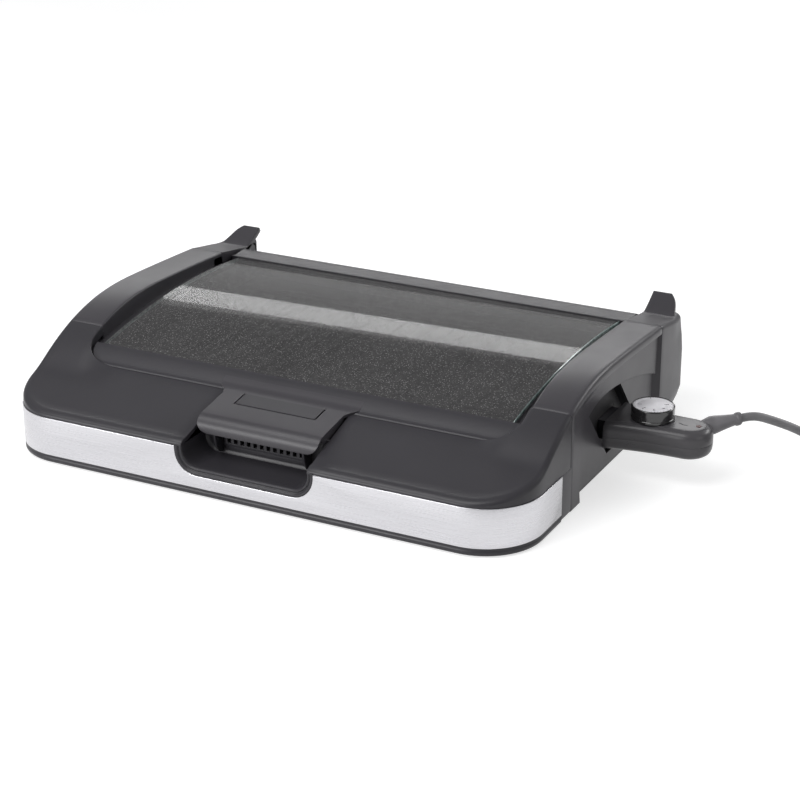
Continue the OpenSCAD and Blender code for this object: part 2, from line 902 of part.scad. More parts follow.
// Depth of the handle's top in front of the strip, up to its rounded lip
nose_y = handle_front_y + handle_drop;
nose_top = slope_z(nose_y) + handle_proud;

// Side outline of the handle, from the strip to the foot of its rounded front lip
function handle_line(t = 0) = concat(
  [[strip_front_y, strip_front_z + handle_rise - t]],
  arc([nose_y, nose_top - handle_drop], handle_drop - t, 105, 180)
);

module lid_handle()
  color(housing_light) along_x(-handle_w / 2, handle_w / 2)
    polygon(concat(handle_line(), reverse(handle_line(handle_t))));

inlay_margin = 16;
inlay_t = 1.2;

// Half the inlay's width
inlay_half = handle_w / 2 - inlay_margin;
// The inlay's ends lie this far from the strip and from the handle's rounded lip
inlay_end = 4;

// Side outline of the inlay that lies on the handle's top
function inlay_line() =
  let (
    back = handle_line()[0],
    front = handle_line()[1],
    lean = inlay_end * (front - back) / norm(front - back),
    up = [0, inlay_t]
  )
  [back + lean, front - lean, front - 1.2 * lean + up, back + 1.2 * lean + up];

module handle_inlay()
  color(housing_dark) along_x(-inlay_half, inlay_half) polygon(inlay_line());

module glass_panel()
  color("#9fb5b0", 0.4) along_x(-glass_w / 2, glass_w / 2) intersection() {
    difference() {
      translate([glass_peak_y, glass_top - glass_bend_r]) circle(glass_bend_r, $fn = 720);
      translate([glass_peak_y, glass_top - glass_bend_r]) circle(glass_bend_r - glass_t, $fn = 720);
    }
    translate([glass_front_y, glass_top / 2]) square([glass_len, glass_top]);
  }

module lid_rear_strip()
  color(housing_dark) difference() {
    union() {
      along_x(-strip_half, strip_half) translate([hinge_y, hinge_z]) circle(barrel_r);
      along_x(-strip_half, strip_half) polygon(concat(
        [[glass_back_y, glass_z(glass_back_y)], [hinge_y, hinge_z + barrel_r], [hinge_y, hinge_z + pin_r]],
        reverse(ledge_outline(glass_back_y, glass_back_y - glass_ledge))
      ));
    }
    for (x = [-1, 1])
      translate([x * (pin_end_x - pin_len / 2), hinge_y, hinge_z]) rotate([0, 90, 0])
        cylinder(h = pin_len + 2 * over, r = pin_r + pin_play, center = true);
  }

gasket_w = 4;
gasket_t = 0.8;
gasket_gap = 0.2;
gasket_margin = 4;

module glass_gasket()
  color(rubber_black)
    for (y = [glass_front_y + glass_ledge + gasket_gap, glass_back_y - glass_ledge - gasket_w - gasket_gap])
      along_x(gasket_margin - glass_w / 2, glass_w / 2 - gasket_margin) polygon([
        [y, glass_low(y)], [y + gasket_w, glass_low(y + gasket_w)],
        [y + gasket_w, glass_low(y + gasket_w) - gasket_t], [y, glass_low(y) - gasket_t]
      ]);

clip_r = 3;
clip_h = 2;
clip_inset = 20;

// Height of the underside of a ledge round a clip at y
function clip_seat(y) = min(glass_low(y - clip_r), glass_low(y + clip_r)) - strip_t;

module glass_clips()
  color(bare_steel) for (x = [-1, 1], y = [glass_front_y + glass_ledge / 2, glass_back_y - glass_ledge / 2])
    translate([x * (glass_w / 2 - clip_inset), y, clip_seat(y) - clip_h]) cylinder(h = clip_h, r = clip_r);

bumper_r = 4;
bumper_inset = 14;

module lid_bumpers()
  color(rubber_black) for (x = [-1, 1])
    translate([x * (strip_half - bumper_inset), strip_front_y + wall + bumper_r, plate_z + seam_gap])
      cylinder(h = strip_front_z - strip_t - plate_z - seam_gap, r = bumper_r);

/* ---- thermostat ---- */

side_x = half_w + 2;
probe_top = probe_low + probe_h;
probe_split = probe_low + 13;
probe_end_x = side_x + probe_len;

// One level of the thermostat's housing: its plan at height z, drawn in by inset
module probe_level(z, inset)
  translate([0, 0, z]) linear_extrude(eps) {
    translate([probe_end_x - probe_r, probe_y]) circle(probe_r - inset, $fn = 40);
    translate([side_x, probe_y - probe_base_w / 2 + inset]) square([1, probe_base_w - 2 * inset]);
  }

// Solid of the thermostat's housing between its levels, drawn in all over by inset
module probe_solid(inset)
  hull() {
    probe_level(probe_low + inset, 9 + inset / 2);
    probe_level(probe_low + 4 + inset / 2, 3 + inset);
    probe_level(probe_split - 2, inset);
    probe_level(probe_split + 4, inset);
    probe_level(probe_top - 4 - inset / 2, 3 + inset);
    probe_level(probe_top - inset - eps, 7 + inset / 2);
  }

// The feeler runs this far into the thermostat's housing
feeler_seat = 10;

// A round bore along X, centred on the feeler's axis or beside it
module along_feeler(from, to, r, side = 0)
  translate([from, probe_y + side, contact_z]) rotate([0, 90, 0]) cylinder(h = to - from, r = r);

module probe_shell()
  difference() {
    probe_solid(0);
    intersection() {
      probe_solid(probe_wall);
      block([side_x + probe_wall, -body_d, 0], [probe_end_x, body_d, arm_top]);
    }
    along_feeler(side_x - over, side_x + feeler_seat, feeler_r);
  }

dial_x = half_w + dial_x_out;

module thermostat_upper_shell()
  color(housing_light) difference() {
    intersection() {
      probe_shell();
      block([side_x, -body_d, probe_split], [2 * side_x, body_d, arm_top]);
    }
    translate([dial_x, probe_y, 0]) cylinder(h = arm_top, r = spindle_r + spindle_play);
    translate([lens_x, probe_y, 0]) cylinder(h = arm_top, r = lens_r);
    relief_hole();
  }

module thermostat_lower_shell()
  color(housing_dark) difference() {
    intersection() {
      probe_shell();
      block([side_x, -body_d, 0], [2 * side_x, body_d, probe_split]);
    }
    relief_hole();
    for (spot = probe_screw_spots)
      translate([spot[0], spot[1], 0]) cylinder(h = arm_top, r = probe_screw_r);
  }

probe_screw_r = 1.5;
probe_screw_inset = 12;
probe_screw_spots = [
  [side_x + probe_screw_inset, probe_y - probe_screw_inset],
  [side_x + probe_screw_inset, probe_y + probe_screw_inset],
  [probe_end_x - probe_r + probe_screw_inset / 2, probe_y - 8]
];

module thermostat_screws()
  color(bare_steel) for (spot = probe_screw_spots)
    translate([spot[0], spot[1], probe_low]) cylinder(h = probe_h - probe_wall - 3, r = probe_screw_r);

sleeve_r = 3.4;
sleeve_len = 32;
// The sleeves start just behind the nose's front face
sleeve_x = nose_front + 0.5;
sleeve_play = 0.4;

module thermostat_nose()
  color(rubber_black) difference() {
    along_x(nose_front, side_x) nose_section();
    for (side = [-1, 1] * contact_pitch / 2)
      along_feeler(nose_front - over, sleeve_x + sleeve_len, sleeve_r, side);
    along_feeler(nose_front - over, side_x + over, feeler_r);
  }

module contact_sleeves()
  color("#b58d4f") for (side = [-1, 1] * contact_pitch / 2) difference() {
    along_feeler(sleeve_x, sleeve_x + sleeve_len, sleeve_r, side);
    along_feeler(sleeve_x - over, sleeve_x + sleeve_len + over, contact_r + sleeve_play, side);
  }

module temperature_feeler()
  color(bare_steel) along_feeler(nose_front - feeler_len, side_x + feeler_seat, feeler_r);

switch_half = 11;
switch_gap = 2;
switch_reach = 14;

module thermostat_switch()
  color("#d8d2c4") difference() {
    block(
      [side_x + probe_wall + switch_gap, probe_y - switch_half, probe_low + probe_wall + 5],
      [dial_x + switch_reach, probe_y + switch_half, probe_top - probe_wall - 2 * switch_gap]
    );
    along_feeler(side_x, side_x + feeler_seat + switch_gap, feeler_r);
    translate([dial_x, probe_y, 0]) cylinder(h = arm_top, r = spindle_r + spindle_play);
    for (spot = probe_screw_spots)
      translate([spot[0], spot[1], 0]) cylinder(h = arm_top, r = probe_screw_r + over);
  }

lens_r = 2.5;
lens_proud = 0.5;
lens_x = probe_end_x - probe_r + 9;

module pilot_lens()
  color("#b3261e") translate([lens_x, probe_y, probe_top - probe_wall - over])
    cylinder(h = probe_wall + over + lens_proud, r = lens_r);

/* ---- dial ---- */

spindle_r = 3;
spindle_play = 0.5;
// The spindle reaches this far down into the thermostat and this far up into the knob
spindle_down = 12;
spindle_up = 8;
dial_low = probe_top + dial_gap;
dial_disc_t = 1.2;
dial_rim = 1.5;

module dial_knob()
  color(rubber_black) translate([dial_x, probe_y, dial_low]) difference() {
    cylinder(h = dial_h, r = dial_r, $fn = 72);
    translate([0, 0, dial_h - dial_disc_t]) cylinder(h = 2 * dial_disc_t, r = dial_r - dial_rim, $fn = 72);
    translate([0, 0, -over]) cylinder(h = spindle_up + over, r = spindle_r);
  }

// The disc lies just under the knob's rim
module dial_disc()
  color("#d6d6da") translate([dial_x, probe_y, dial_low + dial_h - dial_disc_t])
    cylinder(h = dial_disc_t - 0.2, r = dial_r - dial_rim, $fn = 72);

module dial_spindle()
  color(bare_steel) translate([dial_x, probe_y, probe_top - spindle_down])
    cylinder(h = spindle_down + dial_gap + spindle_up, r = spindle_r);

/* ---- cord ---- */

// The cord leaves the strain relief level, bends down to the table and runs into the coil: each point
// is its way from the exit to the right and to the back, and its drop below the exit
route_points = [
  [0, 0, 0], [6, 6, 0.2], [13, 12.5, 1.5], [22, 21, 5], [36, 34.5, 12.5],
  [50, 48, 22.5], [65, 62, 32.2], [79, 75.5, 39.8], [90, 86, 43.4], [102, 97.5, 44.8]
];
// Place of the exit beside the round end of the thermostat's housing and over its underside
exit_place = [12, 41, 22];
cord_exit = [probe_end_x, probe_y, probe_low] + exit_place;
// The last point rests on the table
table_gap = 0.2;
drop_scale = (cord_exit[2] - cord_r - table_gap) / route_points[len(route_points) - 1][2];
cord_route = [for (p = route_points) cord_exit + [p[0], p[1], -drop_scale * p[2]]];
cord_sides = 8;
coil_sides = 6;
route_end = cord_route[len(cord_route) - 1];
// Direction of the cord in plan where it leaves the strain relief and where it enters the coil
exit_angle = 43.6;
along_cord = [cos(exit_angle), sin(exit_angle), 0];
// The strain relief's root reaches this far into the thermostat
relief_root = 6;
relief_taper = 1.8;
relief_flange = 3;
relief_start = cord_exit - (relief_len + relief_root) * along_cord;

// A shape of revolution along the cord's exit, from the strain relief's root
module round_exit()
  translate(relief_start) rotate([0, 90, exit_angle]) children();

module relief_hole()
  round_exit() translate([0, 0, -relief_root / 2]) cylinder(h = relief_len, r = relief_r);

module strain_relief()
  color(rubber_black) round_exit() rotate_extrude() polygon([
    [0, 0], [relief_r, 0], [relief_r, relief_root], [relief_r - relief_taper, relief_len + relief_root - 4],
    [relief_r - relief_taper / 2, relief_len + relief_root - relief_flange],
    [relief_r - relief_taper / 2, relief_len + relief_root], [0, relief_len + relief_root]
  ]);

function unit(v) = v / norm(v);

function path_length(path) =
  let (steps = [for (i = [1:len(path) - 1]) norm(path[i] - path[i - 1])])
  steps * [for (s = steps) 1];

// Direction of a path at its point i
function heading(path, i) = unit(path[min(i + 1, len(path) - 1)] - path[max(i - 1, 0)]);

// One ring of a tube round point i of a path
function ring(path, i, r, sides, first, last) =
  let (
    ahead = i == 0 ? first : i == len(path) - 1 ? last : heading(path, i),
    side = unit(cross([0, 0, 1], ahead)),
    up = cross(ahead, side)
  )
  [for (k = [0:sides - 1])
    let (angle = (k + 0.5) * 360 / sides)
    path[i] + r * (cos(angle) * side + sin(angle) * up)];

// A closed tube along a path, with square ends
module tube(path, r, sides, first, last) {
  rings = len(path);
  points = [for (i = [0:rings - 1]) each ring(path, i, r, sides, first, last)];
  faces = concat(
    [[for (k = [0:sides - 1]) k]],
    [for (i = [0:rings - 2], k = [0:sides - 1])
      let (a = i * sides + k, b = i * sides + (k + 1) % sides)
      each [[a, a + sides, b], [b, a + sides, b + sides]]],
    [[for (k = [sides - 1:-1:0]) (rings - 1) * sides + k]]
  );
  polyhedron(points, faces);
}

module cord()
  color(rubber_black) tube(cord_route, cord_r, cord_sides, along_cord, along_cord);

// The coil spirals in on the table, climbs a layer where it reverses and spirals out again.
// It ends where the cord heads to the front. Its inner radius takes up the cord's whole length.
coil_turns = 4 + (exit_angle + 90) / 360;
end_run = 2 * cord_r;
plug_lead = 20;
coil_share = cord_len - path_length(cord_route) - end_run - plug_lead;
rings_a_turn = 24;
turn_for_radius_1 = 2 * rings_a_turn * sin(180 / rings_a_turn);
coil_inner_r = coil_share / (turn_for_radius_1 * coil_turns) - coil_pitch * coil_turns / 4;
coil_outer_r = coil_inner_r + coil_pitch * coil_turns / 2;
coil_mid = route_end + end_run * along_cord + coil_outer_r * [sin(exit_angle), -cos(exit_angle), 0];
// The last fifth of a turn climbs to the plug's axis, which lies above the table by the plug's radius
plug_rise = plug_r + table_gap - route_end[2] - coil_pitch;

function ease(x) = let (t = min(max(x, 0), 1)) t * t * (3 - 2 * t);

function coil_point(turn) =
  let (
    angle = exit_angle + 90 - 360 * turn,
    r = coil_inner_r + coil_pitch * abs(turn - coil_turns / 2),
    layer = ease((turn - coil_turns / 2) * 2 + 0.5),
    end_rise = ease((turn - coil_turns) * 5 + 1)
  )
  coil_mid + [r * cos(angle), r * sin(angle), coil_pitch * layer + plug_rise * end_rise];

coil_steps = round(coil_turns * rings_a_turn);
coil_turn_points = [for (i = [0:coil_steps]) coil_point(coil_turns * i / coil_steps)];
coil_exit = coil_turn_points[coil_steps];
to_plug = [0, -1, 0];
coil_path = concat(
  [route_end], coil_turn_points, [coil_exit + end_run * to_plug, coil_exit + plug_lead * to_plug]
);
coil_gap = min([
  for (i = [0:coil_steps], j = [i + round(rings_a_turn / 2):1:coil_steps])
    norm(coil_turn_points[i] - coil_turn_points[j])
]) - 2 * cord_r;

module cord_coil()
  color(rubber_black) {
    echo(least_gap_in_coil = coil_gap, whole_cord = path_length(cord_route) + path_length(coil_path));
    tube(coil_path, cord_r, coil_sides, along_cord, to_plug);
  }

tie_w = 6;
tie_t = 1;
tie_gap = 1.5;
tie_angle = 215;

module coil_tie()
  color("#5a5a5e") translate([coil_mid[0], coil_mid[1], 0]) rotate([0, 0, tie_angle])
    along_y(tie_w) difference() {
      tie_outline(tie_gap + tie_t, 0.05);
      tie_outline(tie_gap, 0.06);
    }

// Section of the tie round the coil's turns, standing off them by gap
module tie_outline(gap, low)
  translate([coil_inner_r - cord_r - gap, low])
    square([coil_outer_r - coil_inner_r + 2 * (cord_r + gap), 2 * cord_r + coil_pitch + gap - low]);

// Extrudes an X-Z outline along Y, to both sides
module along_y(width)
  rotate([90, 0, 0]) linear_extrude(width, center = true) children();

plug_grip = 18;
plug_start = coil_exit + plug_lead * to_plug;
plug_face = plug_start + (plug_len + plug_grip) * to_plug;
plug_pin_pitch = 19;
plug_pin_r = 2.4;
plug_pin_len = 19;

module plug_body()
  color(rubber_black) translate(plug_start) rotate([90, 0, 0]) rotate_extrude() polygon([
    [0, 0], [cord_r + 1.5, 0], [cord_r + 3, plug_grip], [plug_r - 6, plug_grip + 6],
    [plug_r - 2, plug_grip + 16], [plug_r, plug_grip + 22],
    [plug_r, plug_grip + plug_len], [0, plug_grip + plug_len]
  ]);

module plug_pins()
  color(bare_steel) for (x = [-1, 1])
    translate(plug_face + [x * plug_pin_pitch / 2, 0, 0]) rotate([90, 0, 0])
      cylinder(h = plug_pin_len, r = plug_pin_r);

base_tray();
feet();
base_screws();
steel_band();
front_housing();
grip_recess();
vent_comb();
left_arm();
right_arm();
left_side_panel();
right_side_panel();
left_rear_post();
right_rear_post();
rear_panel();
plate_surround();
plate_supports();
heat_reflector();
drip_tray();
grill_plate();
heating_element();
element_clips();
contact_pins();
socket_shroud();
left_hinge_pin();
right_hinge_pin();
lid_front_strip();
lid_handle();
handle_inlay();
glass_panel();
lid_rear_strip();
glass_gasket();
lid_bumpers();
glass_clips();
thermostat_upper_shell();
thermostat_lower_shell();
thermostat_nose();
temperature_feeler();
contact_sleeves();
thermostat_switch();
pilot_lens();
thermostat_screws();
strain_relief();
dial_knob();
dial_disc();
dial_spindle();
cord();
cord_coil();
coil_tie();
plug_body();
plug_pins();
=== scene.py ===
"""Looks of the countertop grill: its covers, lid, thermostat, cord and finishes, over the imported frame."""

import json
from contextlib import contextmanager
from math import cos, hypot, pi, radians, sin, sqrt

import bmesh
import bpy
from mathutils import Matrix, Vector

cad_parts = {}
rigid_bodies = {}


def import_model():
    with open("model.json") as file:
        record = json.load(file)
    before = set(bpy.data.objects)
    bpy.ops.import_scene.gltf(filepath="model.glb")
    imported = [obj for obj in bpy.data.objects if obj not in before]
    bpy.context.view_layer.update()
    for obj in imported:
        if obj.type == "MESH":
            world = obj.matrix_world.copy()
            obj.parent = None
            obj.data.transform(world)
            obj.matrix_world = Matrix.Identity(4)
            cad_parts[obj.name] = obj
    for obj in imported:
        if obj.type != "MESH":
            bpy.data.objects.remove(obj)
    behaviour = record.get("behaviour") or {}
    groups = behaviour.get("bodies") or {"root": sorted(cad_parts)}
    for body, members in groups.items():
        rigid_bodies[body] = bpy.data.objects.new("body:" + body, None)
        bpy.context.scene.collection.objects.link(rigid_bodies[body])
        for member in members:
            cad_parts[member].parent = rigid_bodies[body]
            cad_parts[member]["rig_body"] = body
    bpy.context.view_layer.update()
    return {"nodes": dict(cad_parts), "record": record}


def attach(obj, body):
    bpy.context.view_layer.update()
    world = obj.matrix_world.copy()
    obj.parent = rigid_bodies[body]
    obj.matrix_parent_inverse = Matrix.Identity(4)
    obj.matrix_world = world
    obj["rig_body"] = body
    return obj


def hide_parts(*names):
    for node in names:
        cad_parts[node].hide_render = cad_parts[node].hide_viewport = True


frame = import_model()

MM = 0.001


# ---- view ----

# Fitted to the photograph from the housing's parallel edges
VIEW_AZIMUTH = radians(27.067)
VIEW_ELEVATION = radians(22.30)
VIEW_PLACE = Vector((0.8715, -1.6115, 0.7771))
VIEW_LENS = 93.57
VIEW_SENSOR = 36


def linked(name, data):
    """An object for data, in the scene."""
    holder = bpy.data.objects.new(name, data)
    bpy.context.scene.collection.objects.link(holder)
    return holder


def place_camera():
    camera = bpy.data.cameras.new("view")
    camera.sensor_width = VIEW_SENSOR
    camera.lens = VIEW_LENS
    holder = linked("view", camera)
    ahead = Vector((
        -sin(VIEW_AZIMUTH) * cos(VIEW_ELEVATION),
        cos(VIEW_AZIMUTH) * cos(VIEW_ELEVATION),
        -sin(VIEW_ELEVATION),
    ))
    holder.location = VIEW_PLACE
    holder.rotation_euler = ahead.to_track_quat("-Z", "Y").to_euler()
    bpy.context.scene.camera = holder


# ---- finishes ----

RAYS = ("Camera", "Glossy", "Transmission")


class Value:
    """A node's socket; sums and products of it add Math nodes."""

    def __init__(self, finish, socket):
        self.finish = finish
        self.socket = socket

    def math(self, operation, *terms):
        return self.finish.node("ShaderNodeMath", {"operation": operation}, dict(enumerate(terms)))

    def __add__(self, other):
        return self.math("ADD", self, other)

    def __sub__(self, other):
        return self.math("SUBTRACT", self, other)

    def __mul__(self, other):
        return self.math("MULTIPLY", self, other)

    def __rsub__(self, other):
        return self.math("SUBTRACT", other, self)

    __radd__ = __add__

    def between(self, low, high):
        """0 at low and 1 at high, held there beyond them."""
        return self.finish.node("ShaderNodeMapRange", {"clamp": True}, {0: self, 1: low, 2: high})


class Finish:
    """A material, or a world, under construction."""

    def __init__(self, name, kind=bpy.data.materials):
        self.made = kind.new(name)
        self.made.use_nodes = True
        self.tree = self.made.node_tree
        self.tree.nodes.clear()

    def node(self, kind, settings=None, sockets=None, output=0):
        """Adds a node: its settings first, then the values or links of its sockets."""
        node = self.tree.nodes.new(kind)
        for key, value in (settings or {}).items():
            setattr(node, key, value)
        for key, value in (sockets or {}).items():
            if isinstance(value, Value):
                self.tree.links.new(value.socket, node.inputs[key])
            elif isinstance(value, tuple) and len(value) == 3 and node.inputs[key].type == "RGBA":
                node.inputs[key].default_value = (*value, 1)
            else:
                node.inputs[key].default_value = value
        return Value(self, node.outputs[output])

    def place(self, scale=(1, 1, 1)):
        """Place on the piece, stretched by scale."""
        held = self.node("ShaderNodeTexCoord", output="Object")
        return self.node("ShaderNodeMapping", None, {"Vector": held, "Scale": scale})

    def noise(self, scale, detail=3.0, stretch=(1, 1, 1)):
        return self.node("ShaderNodeTexNoise", None, {
            "Vector": self.place(stretch), "Scale": scale, "Detail": detail,
        }, "Fac")

    def cells(self, scale):
        """Distance from the middle of the nearest cell."""
        return self.node("ShaderNodeTexVoronoi", None, {"Vector": self.place(), "Scale": scale}, "Distance")

    def mix(self, share, first, second):
        return self.node("ShaderNodeMix", {"data_type": "RGBA"}, {0: share, 6: first, 7: second}, 2)

    def bump(self, height, distance, strength=1.0):
        return self.node("ShaderNodeBump", None, {
            "Height": height, "Distance": distance, "Strength": strength,
        }, "Normal")

    def surface(self, **sockets):
        """Closes the material with a Principled surface."""
        named = {key.replace("_", " "): value for key, value in sockets.items()}
        return self.closed(self.node("ShaderNodeBsdfPrincipled", None, named))

    def closed(self, shader, output="ShaderNodeOutputMaterial"):
        self.tree.links.new(shader.socket, self.tree.nodes.new(output).inputs[0])
        return self.made

    def rays(self):
        """Whether a ray comes from the camera, and from a mirror or through glass."""
        paths = self.tree.nodes.new("ShaderNodeLightPath").outputs
        camera, mirror, glass = (Value(self, paths[f"Is {kind} Ray"]) for kind in RAYS)
        return camera, mirror + glass


def toned(colour, share):
    """The colour, lighter or darker by share."""
    return tuple(c * share for c in colour)


def moulded(name, colour, roughness, grain=0.00004, lift=1.25):
    """Fine-textured moulding: a spark-eroded grain, slow changes of tone and a few dull patches."""
    finish = Finish(name)
    tone = finish.noise(9, 4)
    fine = finish.noise(1500, 2)
    dull = finish.noise(34, 5)
    base = finish.mix((tone * 0.7 + fine * 0.3).between(0.3, 0.72), colour, toned(colour, lift))
    return finish.surface(
        Base_Color=base,
        Roughness=(dull - 0.5) * 0.12 + roughness + (fine - 0.5) * 0.06,
        Normal=finish.bump(fine, grain, 0.6),
        Specular_IOR_Level=0.36,
    )


def brushed(name, colour, roughness):
    """Steel brushed along its length: level lines of different length and depth."""
    finish = Finish(name)
    lines = finish.noise(1, 3, (14, 14, 1400))
    fine = finish.noise(1, 2, (60, 60, 3640))
    cloud = finish.noise(6, 3)
    grain = lines * 0.6 + fine * 0.4
    tone = (grain * 0.75 + cloud * 0.25).between(0.32, 0.62)
    return finish.surface(
        Base_Color=finish.mix(tone, toned(colour, 0.86), colour),
        Metallic=1.0,
        Roughness=roughness + (grain - 0.5) * 0.16,
        Normal=finish.bump(grain, 0.000012, 0.8),
    )


def plain_metal(name, colour, roughness):
    """Rolled or turned metal, faintly mottled."""
    finish = Finish(name)
    mottle = finish.noise(600, 3)
    cloud = finish.noise(18, 4)
    tone = (mottle * 0.5 + cloud * 0.5).between(0.35, 0.65)
    return finish.surface(
        Base_Color=finish.mix(tone, toned(colour, 0.8), colour),
        Metallic=1.0,
        Roughness=roughness + (mottle - 0.5) * 0.15,
        Normal=finish.bump(mottle, 0.00002, 0.5),
    )


def two_toned(name, tones, cloud, grain, roughness, swing, depth, span=(0.3, 0.7), strength=0.5, **more):
    """Two tones in clouds over a grain: cloud and grain hold the scale and detail of their noise."""
    finish = Finish(name)
    slow = finish.noise(*cloud)
    fine = finish.noise(*grain)
    return finish.surface(
        Base_Color=finish.mix(slow.between(*span), *tones),
        Roughness=roughness + (fine - 0.5) * swing,
        Normal=finish.bump(fine, depth, strength),
        **more,
    )


def rubber(name, colour, roughness=0.7):
    return two_toned(
        name, (colour, toned(colour, 1.5)), (40, 3), (2200, 2), roughness, 0.14, 0.00003,
        span=(0.35, 0.7), Specular_IOR_Level=0.35,
    )


def coated_plate():
    """Non-stick coating with its fine flakes."""
    finish = Finish("coated_plate")
    flakes = finish.cells(1300).between(0.0, 0.35)
    cloud = finish.noise(22, 5)
    grain = finish.noise(900, 2)
    base = finish.mix(cloud.between(0.3, 0.7), (0.035, 0.034, 0.035), (0.06, 0.058, 0.058))
    return finish.surface(
        Base_Color=finish.mix((1 - flakes) * 0.5, base, (0.16, 0.155, 0.15)),
        Roughness=0.42 + (grain - 0.5) * 0.2,
        Normal=finish.bump(grain, 0.00006, 0.7),
    )


def misted_glass():
    """The lid's glass from above: fine condensed drops over a clear, slightly grey sheet."""
    finish = Finish("misted_glass")
    drops = 1 - finish.cells(500).between(0.04, 0.34)
    small = finish.noise(1100, 3)
    patches = finish.noise(11, 3)
    mist = (drops * 0.62 + small * 0.55 + (patches - 0.5) * 0.12).between(0.2, 0.95)
    return finish.surface(
        Base_Color=finish.mix(mist, (0.042, 0.041, 0.042), (0.34, 0.335, 0.335)),
        Roughness=0.04 + (patches - 0.5) * 0.02,
        Alpha=0.55 + mist * 0.25,
        IOR=1.52,
        Specular_IOR_Level=0.11,
    )


def gloss_black():
    """Polished side of the dial."""
    finish = Finish("dial_gloss")
    smear = finish.noise(45, 4)
    fine = finish.noise(900, 2)
    return finish.surface(
        Base_Color=finish.mix(smear.between(0.3, 0.7), (0.014, 0.013, 0.014), (0.03, 0.029, 0.03)),
        Roughness=0.14 + (smear - 0.5) * 0.08,
        Normal=finish.bump(fine, 0.000004, 0.3),
        Coat_Weight=0.6,
        Coat_Roughness=0.06,
    )


def lens_red():
    """Pilot lens, clear red over the dark inside while the lamp is off."""
    finish = Finish("red_lens")
    swirl = finish.noise(500, 3)
    return finish.surface(
        Base_Color=finish.mix(swirl.between(0.3, 0.7), (0.05, 0.01, 0.01), (0.09, 0.016, 0.015)),
        Roughness=0.35 + (swirl - 0.5) * 0.05,
    )


FINISHES = {
    "dark_plastic": moulded("dark_plastic", (0.028, 0.0265, 0.031), 0.39),
    "arm_plastic": moulded("arm_plastic", (0.042, 0.0395, 0.045), 0.37, lift=1.2),
    "brushed_steel": brushed("brushed_steel", (0.62, 0.615, 0.64), 0.28),
    "bright_steel": plain_metal("bright_steel", (0.62, 0.62, 0.64), 0.3),
    "rubber": rubber("rubber", (0.022, 0.021, 0.023)),
    "coated_plate": coated_plate(),
    "element_sheath": two_toned(
        "element_sheath", ((0.12, 0.1, 0.09), (0.27, 0.22, 0.19)), (26, 4), (700, 3), 0.5, 0.2, 0.00003,
        span=(0.35, 0.65), Metallic=0.8,
    ),
    "lid_glass": misted_glass(),
    "contact_brass": plain_metal("contact_brass", (0.62, 0.45, 0.2), 0.28),
    "switch_ceramic": two_toned(
        "switch_ceramic", ((0.58, 0.54, 0.46), (0.72, 0.68, 0.6)), (800, 3), (800, 3), 0.7, 0.2, 0.00004,
    ),
    "red_lens": lens_red(),
    "dial_gloss": gloss_black(),
    "dial_silver": two_toned(
        "dial_silver", ((0.66, 0.65, 0.68), (0.76, 0.75, 0.78)), (60, 3), (1800, 2), 0.42, 0.1, 0.00001,
        strength=0.4, Metallic=0.12,
    ),
    "cord_rubber": rubber("cord_rubber", (0.17, 0.167, 0.173), 0.42),
}
# The ground edge of the glass, greenish from its depth
GLASS_EDGE = two_toned(
    "glass_edge", ((0.14, 0.2, 0.185), (0.4, 0.5, 0.48)), (240, 3), (240, 3), 0.16, 0.1, 0.00004,
    IOR=1.52, Coat_Weight=0.5,
)
DIAL_INK = moulded("dial_ink", (0.02, 0.02, 0.022), 0.6)
SHROUD_STEEL = plain_metal("shroud_steel", (0.07, 0.068, 0.066), 0.55)
PROBE_PLASTIC = moulded("probe_plastic", (0.07, 0.067, 0.072), 0.3, 0.00002, lift=1.12)
RELIEF_RUBBER = rubber("relief_rubber", (0.14, 0.136, 0.143), 0.38)
# Darker than the housing's plastic: painted shade for the inside of the deep well behind the side opening
WELL_PAINTED_SHADE = moulded("well_painted_shade", (0.02, 0.019, 0.021), 0.55)

SLOT_OF = {part["node"]: part["material_slot"] for part in frame["record"]["subparts"]}


# ---- modelling ----


def alone(piece):
    """Only this piece is selected and active."""
    bpy.ops.object.select_all(action="DESELECT")
    piece.select_set(True)
    bpy.context.view_layer.objects.active = piece


def started(name, add, **settings):
    """A primitive with its name."""
    bpy.ops.object.select_all(action="DESELECT")
    add(**settings)
    piece = bpy.context.object
    piece.name = name
    return piece


@contextmanager
def editing(piece):
    """Edit mode on this piece alone."""
    alone(piece)
    bpy.ops.object.mode_set(mode="EDIT")
    yield
    bpy.ops.object.mode_set(mode="OBJECT")


def modified(piece, kind, **settings):
    """The piece after a modifier, applied."""
    alone(piece)
    bpy.ops.object.modifier_add(type=kind)
    modifier = piece.modifiers[-1]
    for key, value in settings.items():
        setattr(modifier, key, value)
    bpy.ops.object.modifier_apply(modifier=modifier.name)
    return piece


def skin(name, rows, closed=False, ends=False):
    """A sheet through rows of points: a grid whose crossings are put in place."""
    if closed:
        rows = [row + row[:1] for row in rows]
    piece = started(
        name, bpy.ops.mesh.primitive_grid_add,
        x_subdivisions=len(rows[0]) - 1, y_subdivisions=len(rows) - 1, size=1,
    )
    for vertex, point in zip(piece.data.vertices, [point for row in rows for point in row]):
        vertex.co = Vector(point) * MM
    with editing(piece):
        bpy.ops.mesh.select_all(action="SELECT")
        bpy.ops.mesh.remove_doubles(threshold=0.02 * MM)
        if ends:
            bpy.ops.mesh.fill_holes(sides=0)
        bpy.ops.mesh.select_all(action="SELECT")
        bpy.ops.mesh.normals_make_consistent(inside=False)
    return piece


def walled(name, rows, direction, thickness):
    """An open skin that looks towards direction on the whole, with its wall behind it."""
    piece = skin(name, rows)
    total = Vector()
    for face in piece.data.polygons:
        total += face.normal * face.area
    if total.dot(Vector(direction)) < 0:
        with editing(piece):
            bpy.ops.mesh.select_all(action="SELECT")
            bpy.ops.mesh.flip_normals()
    return modified(piece, "SOLIDIFY", thickness=thickness * MM, offset=-1)


